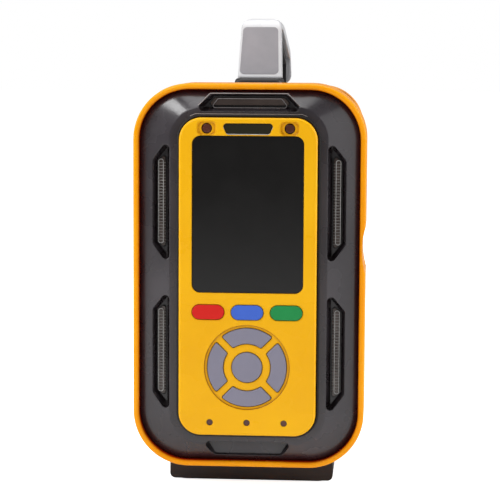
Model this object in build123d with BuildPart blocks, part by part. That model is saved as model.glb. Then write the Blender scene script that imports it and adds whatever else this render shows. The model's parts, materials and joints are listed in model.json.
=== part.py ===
from build123d import *
from math import radians, tan
import os

# Portable gas detector: an upright body on a low foot, with a control face in front and a
# carrying handle that runs front to back over the top.
# Millimetres. +X is right seen from the front, the front faces -Y, +Z is up.
# The origin is the centre of the underside of the foot.

os.makedirs("parts", exist_ok=True)

# Body
BODY_WIDTH = 110.0
BODY_HEIGHT = 182.5
BODY_DEPTH = 205.0
BODY_LIFT = 12.5
BODY_RADIUS = 26.5
BUMPER_WALL = 2.8
BUMPER_GAP = 0.1
BUMPER_ROUND = 1.25
FRONT_BUMPER_LENGTH = 36.0
REAR_BUMPER_PROUD = 0.4
REAR_BUMPER_ROUND = 0.6
SHELL_WALL = 3.0
GASKET_THICKNESS = 1.0
GASKET_WIDTH = 1.5
HOUSING_STEP = 1.5
FRAME_LENGTH = 20.0
FRAME_STEP = 3.5
REAR_COVER_LENGTH = 22.0
REAR_COVER_STEP = 1.5
REAR_COVER_INSET = 1.2
REAR_CHAMFER = 3.0
PANEL_DEPTH = 1.2
PANEL_MARGIN = 15.0
SCALLOP_LENGTH = 22.0
SCALLOP_DEPTH = 1.6
SCALLOP_RISE = 13.5

# Control face
FACE_WIDTH = 64.7
FACE_HEIGHT = 149.8
FACE_RADIUS = 10.5
FACE_RISE = 0.6
FACE_PROUD = 8.7
FACE_DEPTH = 11.2
FACE_WALL = 2.4
FACE_ROUND = 1.1
FACE_GAP = 0.35
COLLAR_WIDTH = 4.8
COLLAR_PROUD = 4.2
COLLAR_ROUND = 1.2
LEDGE_WIDTH = 3.0

# Light pockets in the front frame
POCKET_EDGE = 6.3
POCKET_SLANT = 11.0
POCKET_BRIDGE = 9.6
POCKET_END = 22.0
POCKET_DEPTH = 4.0
POCKET_SKIN = 2.5
POCKET_TAPER = 24.0
POCKET_CORNER = 2.0
TOP_POCKET_WIDTH = 52.6
TOP_POCKET_SLANT = 8.8
TOP_POCKET_OVERLAP = 1.8
TOP_POCKET_STEP = 2.9
BOTTOM_POCKET_WIDTH = 43.0
BOTTOM_POCKET_SLANT = 5.4
BOTTOM_POCKET_EDGE = 2.2
BOTTOM_POCKET_STEP = 3.7
BOTTOM_POCKET_DEPTH = 2.6
LENS_RIM = 0.8
LENS_GAP = 0.1
LENS_PROUD = 1.2
LENS_FLANGE = 1.5
TOP_LENS_FLANGE = 0.5
LENS_FLANGE_THICKNESS = 1.2
RIB_PITCH = 1.4
RIB_GROOVE = 0.6
RIB_DEPTH = 0.45
RIB_MARGIN = 1.1
LAMP_SIZE = 2.8
LAMP_HEIGHT = 1.2
LAMP_PITCH = 12.0
STRIP_WIDTH = 7.0
STRIP_INSET = 1.6
STRIP_MARGIN = 5.0
TOP_LAMPS = 3
TOP_STRIP_WIDTH = 36.0
TOP_STRIP_HEIGHT = 5.0
TOP_STRIP_CLEAR = 0.05

# Screen
SCREEN_WIDTH = 52.4
SCREEN_HEIGHT = 73.7
SCREEN_RADIUS = 4.0
SCREEN_TOP = 8.3
SCREEN_RECESS = 1.0
GLASS_THICKNESS = 1.2
SCREEN_LEDGE = 2.2
SCREEN_GAP = 0.1
LCD_THICKNESS = 3.0
LCD_GAP = 0.2
LCD_MARGIN = 1.0
LCD_STEP = 1.0
LCD_POST_SIZE = 4.0
LCD_POST_INSET = 4.0

# Keys
KEY_TRAVEL = 0.8
KEY_GAP = 0.25
KEY_SEAT_GAP = 0.1
KEY_PROUD = 0.5
KEY_FLANGE = 0.8
KEY_FLANGE_THICKNESS = 1.0
KEY_STEM_RADIUS = 1.5
KEY_ROUND = 0.35
SOFT_KEY_WIDTH = 15.0
SOFT_KEY_HEIGHT = 6.8
SOFT_KEY_PITCH = 18.4
SOFT_KEY_DROP = 9.1
NAV_DROP = 35.2
NAV_OUTER = 18.6
NAV_INNER = 11.3
NAV_SPOKE = 3.8
NAV_CORNER = 0.8
NAV_OK_RADIUS = 7.1
NAV_DISH_MARGIN = 1.6
NAV_DISH_DEPTH = 0.6
SWITCH_SIZE = 6.0
SWITCH_HEIGHT = 3.4
PLUNGER_RADIUS = 1.7
PLUNGER_HEIGHT = 0.9
SWITCH_CLEARANCE = 0.15
BOARD_THICKNESS = 1.6

# Small windows in the control face
STATUS_RADIUS = 1.5
STATUS_PITCH = 17.5
STATUS_RISE = 6.2
STATUS_RECESS = 0.5
STATUS_FLANGE = 0.8
LIGHT_FLANGE_THICKNESS = 1.0
INDICATOR_OFFSET = 19.4
INDICATOR_DROP = 4.9
INDICATOR_WIDTH = 9.2
INDICATOR_HEIGHT = 7.0
INDICATOR_DEPTH = 1.3
INDICATOR_CORNER = 2.6
INDICATOR_TAPER = 30.0
INDICATOR_RADIUS = 2.5
INDICATOR_RECESS = 0.3
INDICATOR_DOME = 0.7
ALARM_WIDTH = 24.8
ALARM_HEIGHT = 5.2
ALARM_SLANT = 2.6
ALARM_DROP = 2.6
ALARM_RECESS = 0.5
ALARM_CORNER = 1.5
ALARM_FLANGE = 1.5
ALARM_FLANGE_RISE = 0.2
ALARM_FLANGE_THICKNESS = 0.8
WINDOW_GAP = 0.1

# Foot
FOOT_WIDTH = 80.0
FOOT_LENGTH = 155.0
FOOT_TOP = 19.5
FOOT_ROUND = 2.6
SOLE_THICKNESS = 2.0
SOLE_PROUD = 1.0
SOLE_MARGIN = 3.2
SOLE_RADIUS = 5.0
FIT_GAP = 0.1

# Handle
HANDLE_LEG_FRONT = -30.0
HANDLE_LEG_REAR = 66.0
HANDLE_LEAN = 12.0
HANDLE_CREST = 31.6
HANDLE_CREST_LENGTH = 14.0
HANDLE_CREST_BEND = 8.0
HANDLE_BACK_BEND = 40.0
HANDLE_TAIL = 14.8
HANDLE_TAIL_LEAN = 1.0
HANDLE_TAIL_BEND = 9.0
HANDLE_HALF_WIDTH = 11.4
HANDLE_HALF_TOP = 10.0
HANDLE_CORNER = 5.0
HANDLE_SHELL = 5.2
HANDLE_LINER = 3.4
HANDLE_LINER_INSET = 1.4
HANDLE_FOOT_WIDTH = 23.8
HANDLE_FOOT_CORNER = 4.0
FRONT_FOOT_LENGTH = 27.0
FRONT_FOOT_HEIGHT = 6.15
FRONT_FOOT_ROUND = 2.0
FRONT_FOOT_LEAD = 14.0
REAR_FOOT_LENGTH = 22.0
REAR_FOOT_HEIGHT = 1.6
REAR_FOOT_ROUND = 0.8
REAR_FOOT_LEAD = 10.0

# Fasteners
SCREW_RADIUS = 1.5
SCREW_HEAD_LIP = 1.25
SCREW_HEAD_HEIGHT = 3.0
SCREW_SOCKET = 1.25
SCREW_SOCKET_DEPTH = 1.5
SCREW_GAP = 0.2
THREAD_GAP = 0.05
CASE_SCREW_LENGTH = 30.0
BOSS_WALL = 3.0
BOSS_INSET = 11.5
BOSS_LENGTH = 20.0
BASE_SCREW_LENGTH = 16.0
BASE_SCREW_X = 22.0
BASE_SCREW_Y = 60.0
BASE_SCREW_SLACK = 1.0
PAD_HEIGHT = 4.0
PAD_WALL = 4.5
HEAD_SEAT_DEPTH = 12.0
HANDLE_SCREW_GRIP = 2.6
HANDLE_SCREW_X = 5.5

# Port bay on the right side
BAY_FRONT = -60.0
HINGE_Y = -20.0
HINGE_DEPTH = 1.5
HINGE_CLEAR = 2.4
BAY_HEIGHT = 18.6
BAY_DEPTH = 7.8
BAY_WALL = 4.0
BAY_CLEAR = 1.0
COVER_THICKNESS = 2.6
COVER_GAP = 0.3
TRUNNION_RADIUS = 1.0
TRUNNION_LENGTH = 1.8
TRUNNION_GAP = 0.05
TAB_LENGTH = 2.2
TAB_HEIGHT = 8.0
TAB_PROUD = 0.7
TAB_ROOT = 0.5
COVER_ROUND = 0.6
PORT_PITCH = 17.0
PORT_GAP = 0.1
JACK_SIZE = 9.0
JACK_LENGTH = 13.0
JACK_BORE = 2.8
JACK_BORE_DEPTH = 9.5
JACK_PIN = 0.95
SOCKET_WIDTH = 9.0
SOCKET_HEIGHT = 3.4
SOCKET_LENGTH = 10.0
SOCKET_WALL = 0.35
SOCKET_FLOOR = 2.0
TONGUE_THICKNESS = 0.7
TONGUE_MARGIN = 1.4
PORT_FLANGE = 1.2

# Grips on the sides
GRIP_PITCH = 5.0
GRIP_COUNT = 12
GRIP_GROOVE = 2.2
GRIP_DEPTH = 0.9
GRIP_HEIGHT = 96.0
GRIP_REAR = 24.0

# Gas path
NOZZLE_X = 25.0
NOZZLE_RISE = 48.0
NOZZLE_RADIUS = 3.0
NOZZLE_LENGTH = 12.0
NOZZLE_BORE = 1.5
NOZZLE_HEX = 6.5
NOZZLE_HEX_LENGTH = 5.0
NOZZLE_THREAD = 4.0
NOZZLE_NUT_LENGTH = 4.0
NOZZLE_CHAMFER = 0.8
SPIGOT_RADIUS = 1.6
SPIGOT_LENGTH = 7.0
SPIGOT_ROOT = 1.0
TUBE_OUTER = 3.0
TUBE_INNER = 1.65
TUBE_BEND = 10.0
TUBE_END_GAP = 0.5
FILTER_RADIUS = 9.0
FILTER_LENGTH = 16.0
FILTER_GAP = 10.0
FILTER_CHAMFER = 1.5

# Inner assembly
CHASSIS_SETBACK = 20.0
CHASSIS_THICKNESS = 2.0
CHASSIS_MARGIN = 5.0
CHASSIS_WINDOW_MARGIN = 20.0
CHASSIS_WINDOW_HEIGHT = 54.0
CHASSIS_WINDOW_RISE = 30.0
CHASSIS_WINDOW_CORNER = 6.0
SHELF_Z = 58.0
SHELF_WIDTH = 88.0
SHELF_LENGTH = 112.0
MAIN_BOARD_GAP = 10.0
MAIN_BOARD_WIDTH = 76.0
MAIN_BOARD_HEIGHT = 138.0
STANDOFF_RADIUS = 3.0
STANDOFF_INSET = 5.0
CHIP_SIZE = 14.0
CHIP_HEIGHT = 1.6
BATTERY_WIDTH = 72.0
BATTERY_LENGTH = 96.0
BATTERY_HEIGHT = 23.0
BATTERY_CORNER = 2.0
BATTERY_ROUND = 4.0
BATTERY_GAP = 0.3
TRAY_WALL = 1.6
TRAY_Z = 25.0
TRAY_HEIGHT = 18.0
TRAY_RAIL_WIDTH = 40.0
TRAY_RAIL_SETBACK = 10.0
MANIFOLD_WIDTH = 64.0
MANIFOLD_DEPTH = 12.0
MANIFOLD_HEIGHT = 58.0
MANIFOLD_Y = 2.0
MANIFOLD_PORT_INSET = 6.0
MANIFOLD_CORNER = 3.0
SENSOR_RADIUS = 10.0
SENSOR_LENGTH = 16.5
SENSOR_SEAT = 4.0
SENSOR_LIP = 3.0
SENSOR_ROUND = 0.5
SENSOR_PITCH_X = 30.0
SENSOR_PITCH_Z = 27.0
SENSOR_PIN_RADIUS = 0.75
SENSOR_PIN_CIRCLE = 6.5
SENSOR_PIN_LENGTH = 3.0
SENSOR_PIN_COUNT = 3
SENSOR_BOARD_GAP = 0.6
PUMP_Y = 36.0
PUMP_RISE = 15.0
PUMP_HEAD_RADIUS = 13.0
PUMP_HEAD_LENGTH = 14.0
PUMP_CHAMBER_RADIUS = 10.0
PUMP_CHAMBER_LENGTH = 9.0
PUMP_OFFSET = 1.2
ROTOR_RADIUS = 8.4
ROTOR_GAP = 0.3
VANE_WIDTH = 1.2
VANE_DEPTH = 3.0
VANE_COUNT = 4
MOTOR_RADIUS = 12.0
MOTOR_LENGTH = 30.0
MOTOR_ROUND = 1.5
SHAFT_RADIUS = 1.5
SHAFT_GAP = 0.05
PUMP_PORT_INSET = 5.0
CRADLE_WIDTH = 16.0
CRADLE_LENGTH = 19.2
BUZZER_RADIUS = 12.0
BUZZER_LENGTH = 9.0
BUZZER_CUP_WALL = 2.0
BUZZER_HOLE_RADIUS = 2.0
BUZZER_HOLE_DEPTH = 2.0
BUZZER_Z = 70.0
GRILLE_SLOT = 1.6
GRILLE_PITCH = 3.6
GRILLE_COUNT = 5
GRILLE_LENGTH = 18.0

# Places that follow from the sizes above
Y_FRONT = -BODY_DEPTH / 2
Y_REAR = BODY_DEPTH / 2
Z_MID = BODY_LIFT + BODY_HEIGHT / 2
LIP_INSET = BUMPER_WALL + BUMPER_GAP
SCREW_HEAD_RADIUS = SCREW_RADIUS + SCREW_HEAD_LIP
BOSS_RADIUS = SCREW_RADIUS + BOSS_WALL
PAD_RADIUS = SCREW_RADIUS + PAD_WALL
LIP_HEIGHT = BODY_HEIGHT - 2 * LIP_INSET
LIP_SIDE = BODY_WIDTH / 2 - LIP_INSET
LIP_TOP = Z_MID + LIP_HEIGHT / 2
LIP_BOTTOM = Z_MID - LIP_HEIGHT / 2
CORE_INSET = LIP_INSET + HOUSING_STEP
CORE_HEIGHT = BODY_HEIGHT - 2 * CORE_INSET
CORE_SIDE = BODY_WIDTH / 2 - CORE_INSET
CORE_TOP = Z_MID + CORE_HEIGHT / 2
CORE_BOTTOM = Z_MID - CORE_HEIGHT / 2
FRAME_EDGE_Y = Y_FRONT + FRAME_STEP
FRAME_BACK_Y = FRAME_EDGE_Y + FRAME_LENGTH
POCKET_FLOOR_Y = Y_FRONT + POCKET_DEPTH
FRAME_HOLLOW_Y = POCKET_FLOOR_Y + POCKET_SKIN
COLLAR_Y = Y_FRONT - COLLAR_PROUD
HOUSING_FRONT_Y = FRAME_BACK_Y + GASKET_THICKNESS
COVER_BACK_Y = Y_REAR - REAR_COVER_STEP
COVER_FRONT_Y = COVER_BACK_Y - REAR_COVER_LENGTH
HOUSING_REAR_Y = COVER_FRONT_Y - GASKET_THICKNESS
FRONT_BUMPER_BACK_Y = Y_FRONT + FRONT_BUMPER_LENGTH
HEAD_SEAT_Y = COVER_BACK_Y - HEAD_SEAT_DEPTH
BUZZER_BACK_Y = COVER_BACK_Y - SHELL_WALL - PANEL_DEPTH
CORNER_X = CORE_SIDE - BOSS_INSET
CORNER_Z = CORE_HEIGHT / 2 - BOSS_INSET
FACE_Z = Z_MID + FACE_RISE
FACE_Y = Y_FRONT - FACE_PROUD
FACE_BACK_Y = FACE_Y + FACE_DEPTH
FACE_TOP = FACE_Z + FACE_HEIGHT / 2
FACE_BOTTOM = FACE_Z - FACE_HEIGHT / 2
FACE_INSIDE_Y = FACE_Y + FACE_WALL
KEYPAD_FRONT_Y = FACE_BACK_Y - BOARD_THICKNESS - FIT_GAP
SCREEN_Z = FACE_TOP - SCREEN_TOP - SCREEN_HEIGHT / 2
SCREEN_BOTTOM = SCREEN_Z - SCREEN_HEIGHT / 2
GLASS_Y = FACE_Y + SCREEN_RECESS
SOFT_KEY_Z = SCREEN_BOTTOM - SOFT_KEY_DROP
NAV_Z = SCREEN_BOTTOM - NAV_DROP
NAV_MID_RADIUS = (NAV_OUTER + NAV_INNER) / 2
NAV_DISH_RADIUS = NAV_OUTER + NAV_DISH_MARGIN
PLUNGER_Y = KEYPAD_FRONT_Y - SWITCH_HEIGHT - PLUNGER_HEIGHT
KEY_STEM_Y = PLUNGER_Y - KEY_TRAVEL - SWITCH_CLEARANCE
STATUS_Z = FACE_BOTTOM + STATUS_RISE
INDICATOR_Z = FACE_TOP - INDICATOR_DROP
ALARM_Z = FACE_TOP - ALARM_DROP - ALARM_HEIGHT / 2
PORT_Z = Z_MID + SCALLOP_RISE
BAY_REAR = HINGE_Y + HINGE_CLEAR
BAY_FLOOR_X = CORE_SIDE - BAY_DEPTH
HINGE_X = CORE_SIDE - HINGE_DEPTH
PORT_Y = (BAY_FRONT + HINGE_Y) / 2
FRONT_LEG_Z = CORE_TOP + FRONT_FOOT_HEIGHT
REAR_LEG_Z = CORE_TOP + REAR_FOOT_HEIGHT
HANDLE_TOP = BODY_LIFT + BODY_HEIGHT + HANDLE_CREST
HANDLE_SCREW_LENGTH = SHELL_WALL + FRONT_FOOT_HEIGHT + HANDLE_SCREW_GRIP
HANDLE_SCREW_TOP = CORE_TOP - SHELL_WALL + HANDLE_SCREW_LENGTH
FRONT_LEAN = HANDLE_LEAN / (HANDLE_TOP - FRONT_LEG_Z)
FRONT_LEG_Y = HANDLE_LEG_FRONT + HANDLE_SHELL / 2 + FRONT_LEAN * HANDLE_SCREW_GRIP / 2
REAR_LEG_Y = HANDLE_LEG_REAR - HANDLE_SHELL / 2
FRONT_FOOT_Y = HANDLE_LEG_FRONT - FRONT_FOOT_LEAD + FRONT_FOOT_LENGTH / 2
REAR_FOOT_Y = HANDLE_LEG_REAR + REAR_FOOT_LEAD - REAR_FOOT_LENGTH / 2
HANDLE_SCREWS = [(side * HANDLE_SCREW_X, y) for side in (-1, 1) for y in (FRONT_LEG_Y, REAR_LEG_Y)]
NOZZLE_Z = Z_MID + NOZZLE_RISE
CHASSIS_Y = HOUSING_FRONT_Y + CHASSIS_SETBACK
CHASSIS_BACK_Y = CHASSIS_Y + CHASSIS_THICKNESS
MAIN_BOARD_Y = CHASSIS_Y - MAIN_BOARD_GAP
SHELF_TOP = SHELF_Z + CHASSIS_THICKNESS
MANIFOLD_Z = SHELF_TOP + MANIFOLD_HEIGHT / 2
MANIFOLD_BACK_Y = MANIFOLD_Y + MANIFOLD_DEPTH
SENSOR_FRONT_Y = MANIFOLD_Y + SENSOR_SEAT - SENSOR_LENGTH
PUMP_Z = SHELF_TOP + PUMP_RISE
PUMP_X = NOZZLE_X + PUMP_PORT_INSET - PUMP_HEAD_LENGTH
CASE_CORNERS = [(side * CORNER_X, Z_MID + end * CORNER_Z) for side in (-1, 1) for end in (-1, 1)]
BASE_CORNERS = [(side * BASE_SCREW_X, end * BASE_SCREW_Y) for side in (-1, 1) for end in (-1, 1)]
BASE_HEAD_Z = CORE_BOTTOM - BASE_SCREW_LENGTH + SHELL_WALL + PAD_HEIGHT
NOZZLES = [(-NOZZLE_X, NOZZLE_Z), (NOZZLE_X, NOZZLE_Z)]
NOZZLE_NUT_Y = COVER_BACK_Y - SHELL_WALL - PANEL_DEPTH - NOZZLE_NUT_LENGTH
NOZZLE_SPIGOT_Y = NOZZLE_NUT_Y - SPIGOT_LENGTH


def at_y(y):
    """Plane across the body at depth y: local x is +X, local y is +Z, normal is -Y."""
    return Plane.XZ.offset(-y)


def block(width, height, radius, front, back, x=0.0, z=0.0, mode=Mode.ADD):
    """Block with rounded corners seen from the front, between two depths."""
    with BuildSketch(at_y(back)) as outline:
        with Locations((x, z)):
            RectangleRounded(width, height, radius)
    extrude(outline.sketch, amount=back - front, mode=mode)


def body_block(inset, front, back, mode=Mode.ADD):
    """Block with the body's outline moved in by an inset, between two depths."""
    block(
        BODY_WIDTH - 2 * inset,
        BODY_HEIGHT - 2 * inset,
        BODY_RADIUS - inset,
        front,
        back,
        z=Z_MID,
        mode=mode,
    )


def plate(width, height, front, back, x=0.0, z=0.0, mode=Mode.ADD):
    """Block with square corners, between two depths."""
    with BuildSketch(at_y(back)) as outline:
        with Locations((x, z)):
            Rectangle(width, height)
    extrude(outline.sketch, amount=back - front, mode=mode)


def rod(radius, front, back, places, mode=Mode.ADD):
    """Round bars along Y at the given (x, z) places, between two depths."""
    with BuildSketch(at_y(back)) as outline:
        with Locations(*places):
            Circle(radius)
    extrude(outline.sketch, amount=back - front, mode=mode)


def post(radius, bottom, top, places, mode=Mode.ADD):
    """Round bars along Z at the given (x, y) places."""
    with BuildSketch(Plane.XY.offset(bottom)) as outline:
        with Locations(*places):
            Circle(radius)
    extrude(outline.sketch, amount=top - bottom, mode=mode)


def outline_face(points, corner, y, inset=0.0):
    """Polygon with rounded corners on the plane at depth y, moved in by an inset."""
    with BuildSketch(at_y(y)) as outline:
        with BuildLine():
            Polyline(*points, close=True)
        make_face()
        if inset != 0.0:
            offset(amount=-inset, kind=Kind.INTERSECTION, mode=Mode.REPLACE)
        fillet(outline.vertices(), corner)
    return outline.sketch


def side_pocket(side, end):
    """Corner points of one side pocket; side is -1 left or 1 right, end is -1 lower or 1 upper."""
    inner_x = side * (FACE_WIDTH / 2 + COLLAR_WIDTH)
    outer_x = side * (LIP_SIDE - POCKET_EDGE)
    near_z = Z_MID + end * POCKET_BRIDGE / 2
    far_z = Z_MID + end * (LIP_HEIGHT / 2 - POCKET_END)
    slant = end * POCKET_SLANT
    return [(inner_x, near_z), (outer_x, near_z + slant), (outer_x, far_z - slant), (inner_x, far_z)]


def cross_pocket(low_z, high_z, low_half, high_half):
    """Corner points of the pocket above or below the control face."""
    return [(-low_half, low_z), (low_half, low_z), (high_half, high_z), (-high_half, high_z)]


def cut_pocket(points, floor_y):
    """Straight cut in front of the body's front plane, then sloping walls down to the floor."""
    mouth = outline_face(points, POCKET_CORNER, Y_FRONT)
    extrude(mouth, amount=2 * COLLAR_PROUD, mode=Mode.SUBTRACT)
    extrude(mouth, amount=Y_FRONT - floor_y, taper=POCKET_TAPER, mode=Mode.SUBTRACT)


FLOOR_INSET = POCKET_DEPTH * tan(radians(POCKET_TAPER))
TOP_POCKET = cross_pocket(
    FACE_TOP + TOP_POCKET_STEP,
    LIP_TOP - SHELL_WALL + TOP_POCKET_OVERLAP,
    TOP_POCKET_WIDTH / 2,
    TOP_POCKET_WIDTH / 2 - TOP_POCKET_SLANT,
)
BOTTOM_POCKET = cross_pocket(
    LIP_BOTTOM + BOTTOM_POCKET_EDGE,
    FACE_BOTTOM - BOTTOM_POCKET_STEP,
    BOTTOM_POCKET_WIDTH / 2 - BOTTOM_POCKET_SLANT,
    BOTTOM_POCKET_WIDTH / 2,
)
SIDE_POCKETS = {
    "upper_left": side_pocket(-1, 1),
    "lower_left": side_pocket(-1, -1),
    "upper_right": side_pocket(1, 1),
    "lower_right": side_pocket(1, -1),
}


# Front frame: black moulding whose face slopes up to a collar round the control face
with BuildPart() as front_frame:
    body_block(LIP_INSET, FRAME_EDGE_Y, FRAME_BACK_Y)
    with BuildSketch(at_y(FRAME_EDGE_Y)):
        with Locations((0, Z_MID)):
            RectangleRounded(2 * LIP_SIDE, LIP_HEIGHT, BODY_RADIUS - LIP_INSET)
    with BuildSketch(at_y(COLLAR_Y)):
        with Locations((0, FACE_Z)):
            RectangleRounded(
                FACE_WIDTH + 2 * COLLAR_WIDTH,
                FACE_HEIGHT + 2 * COLLAR_WIDTH,
                FACE_RADIUS + COLLAR_WIDTH,
            )
    loft()
    fillet(front_frame.faces().sort_by(Axis.Y)[0].outer_wire().edges(), COLLAR_ROUND)
    for corners in SIDE_POCKETS.values():
        cut_pocket(corners, POCKET_FLOOR_Y)
    cut_pocket(TOP_POCKET, POCKET_FLOOR_Y)
    cut_pocket(BOTTOM_POCKET, Y_FRONT + BOTTOM_POCKET_DEPTH)
    body_block(LIP_INSET + SHELL_WALL, FRAME_HOLLOW_Y, FRAME_BACK_Y, mode=Mode.SUBTRACT)
    block(
        FACE_WIDTH + 2 * FACE_GAP,
        FACE_HEIGHT + 2 * FACE_GAP,
        FACE_RADIUS + FACE_GAP,
        COLLAR_Y - COLLAR_PROUD,
        FACE_BACK_Y,
        z=FACE_Z,
        mode=Mode.SUBTRACT,
    )
    block(
        FACE_WIDTH - 2 * LEDGE_WIDTH,
        FACE_HEIGHT - 2 * LEDGE_WIDTH,
        FACE_RADIUS - LEDGE_WIDTH,
        COLLAR_Y,
        FRAME_BACK_Y,
        z=FACE_Z,
        mode=Mode.SUBTRACT,
    )
    rod(BOSS_RADIUS, FRAME_HOLLOW_Y - SHELL_WALL / 2, FRAME_BACK_Y, CASE_CORNERS)
    rod(
        SCREW_RADIUS + THREAD_GAP,
        FRAME_BACK_Y - (CASE_SCREW_LENGTH - CHASSIS_SETBACK - CHASSIS_THICKNESS),
        FRAME_BACK_Y,
        CASE_CORNERS,
        mode=Mode.SUBTRACT,
    )
    for corners in [*SIDE_POCKETS.values(), TOP_POCKET]:
        window = outline_face(corners, POCKET_CORNER / 2, FRAME_HOLLOW_Y, FLOOR_INSET + LENS_RIM)
        extrude(window, amount=2 * POCKET_DEPTH, mode=Mode.SUBTRACT)
front_frame.part.label = "front_frame"
export_step(front_frame.part, "parts/front_frame.step")


# Lenses: each fills its window from behind and is held by a flange
def make_lens(name, corners, ribbed, flange_width):
    with BuildPart() as lens:
        body = outline_face(
            corners, POCKET_CORNER / 2, FRAME_HOLLOW_Y, FLOOR_INSET + LENS_RIM + LENS_GAP
        )
        extrude(body, amount=FRAME_HOLLOW_Y - POCKET_FLOOR_Y + LENS_PROUD)
        flange = outline_face(
            corners, POCKET_CORNER / 2, FRAME_HOLLOW_Y, FLOOR_INSET + LENS_RIM - flange_width
        )
        extrude(flange, amount=-LENS_FLANGE_THICKNESS)
        if ribbed:
            front = lens.faces().sort_by(Axis.Y)[0]
            size = front.bounding_box().size
            middle = front.center(CenterOf.BOUNDING_BOX)
            count = int((size.Z - 2 * POCKET_SLANT) / RIB_PITCH)
            with BuildSketch(at_y(middle.Y)) as grooves:
                with Locations((middle.X, middle.Z)):
                    with GridLocations(0, RIB_PITCH, 1, count):
                        Rectangle(size.X - 2 * RIB_MARGIN, RIB_GROOVE)
            extrude(grooves.sketch, amount=-RIB_DEPTH, mode=Mode.SUBTRACT)
    lens.part.label = name
    export_step(lens.part, f"parts/{name}.step")


for place, corners in SIDE_POCKETS.items():
    make_lens(f"side_lens_{place}", corners, True, LENS_FLANGE)
make_lens("top_lens", TOP_POCKET, False, TOP_LENS_FLANGE)


# Light boards: a strip with its row of lamps behind each set of lenses
def light_strip(width, height, x, z, columns, rows):
    """Strip behind a lens, with a grid of small lamps facing it."""
    back = FRAME_HOLLOW_Y + LENS_FLANGE_THICKNESS + 3 * BOARD_THICKNESS
    plate(width, height, back - BOARD_THICKNESS, back, x, z)
    with BuildSketch(at_y(back - BOARD_THICKNESS)) as lamps:
        with Locations((x, z)):
            with GridLocations(LAMP_PITCH, LAMP_PITCH, columns, rows):
                Rectangle(LAMP_SIZE, LAMP_SIZE)
    extrude(lamps.sketch, amount=LAMP_HEIGHT)


STRIP_X = LIP_SIDE - POCKET_EDGE - POCKET_DEPTH - STRIP_INSET
STRIP_HEIGHT = LIP_HEIGHT - 2 * (POCKET_END + STRIP_MARGIN)
SIDE_LAMPS = int(STRIP_HEIGHT / LAMP_PITCH)
TOP_STRIP_Z = LIP_TOP - SHELL_WALL - TOP_STRIP_CLEAR - TOP_STRIP_HEIGHT / 2
with BuildPart() as light_boards:
    for side in (-1, 1):
        light_strip(STRIP_WIDTH, STRIP_HEIGHT, side * STRIP_X, Z_MID, 1, SIDE_LAMPS)
    light_strip(TOP_STRIP_WIDTH, TOP_STRIP_HEIGHT, 0.0, TOP_STRIP_Z, TOP_LAMPS, 1)
light_boards.part.label = "light_boards"
export_step(light_boards.part, "parts/light_boards.step")


# Front bumper: rounded ring over the frame's rim and the front of the housing
with BuildPart() as front_bumper:
    body_block(0.0, Y_FRONT, FRONT_BUMPER_BACK_Y)
    body_block(CORE_INSET - BUMPER_GAP, Y_FRONT, FRONT_BUMPER_BACK_Y, mode=Mode.SUBTRACT)
    chamfer(front_bumper.faces().sort_by(Axis.Y)[-1].outer_wire().edges(), BUMPER_ROUND / 2)
    body_block(LIP_INSET - BUMPER_GAP, Y_FRONT, FRAME_BACK_Y + BUMPER_GAP, mode=Mode.SUBTRACT)
    fillet(front_bumper.faces().sort_by(Axis.Y)[0].edges(), BUMPER_ROUND)
    reach = (SCALLOP_LENGTH**2 / 4 + SCALLOP_DEPTH**2) / (2 * SCALLOP_DEPTH)
    scallop_centre = (BODY_WIDTH / 2 - SCALLOP_DEPTH + reach, PORT_Z)
    rod(reach, Y_FRONT, FRONT_BUMPER_BACK_Y, [scallop_centre], mode=Mode.SUBTRACT)
front_bumper.part.label = "front_bumper"
export_step(front_bumper.part, "parts/front_bumper.step")

# Rear bumper: low band round the rear cover, butted against the housing
COVER_INSET = CORE_INSET + REAR_COVER_INSET
with BuildPart() as rear_bumper:
    body_block(CORE_INSET - REAR_BUMPER_PROUD, HOUSING_REAR_Y + BUMPER_GAP, Y_REAR)
    body_block(COVER_INSET - BUMPER_GAP, HOUSING_REAR_Y, Y_REAR, mode=Mode.SUBTRACT)
    fillet(rear_bumper.faces().sort_by(Axis.Y)[-1].edges(), REAR_BUMPER_ROUND)
rear_bumper.part.label = "rear_bumper"
export_step(rear_bumper.part, "parts/rear_bumper.step")


# Gaskets between the three shells
def make_gasket(name, inset, front):
    with BuildPart() as gasket:
        back = front + GASKET_THICKNESS
        body_block(inset, front, back)
        body_block(inset + GASKET_WIDTH, front, back, mode=Mode.SUBTRACT)
    gasket.part.label = name
    export_step(gasket.part, f"parts/{name}.step")


make_gasket("front_gasket", CORE_INSET, FRAME_BACK_Y)
make_gasket("rear_gasket", COVER_INSET + BUMPER_GAP, HOUSING_REAR_Y)

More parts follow.
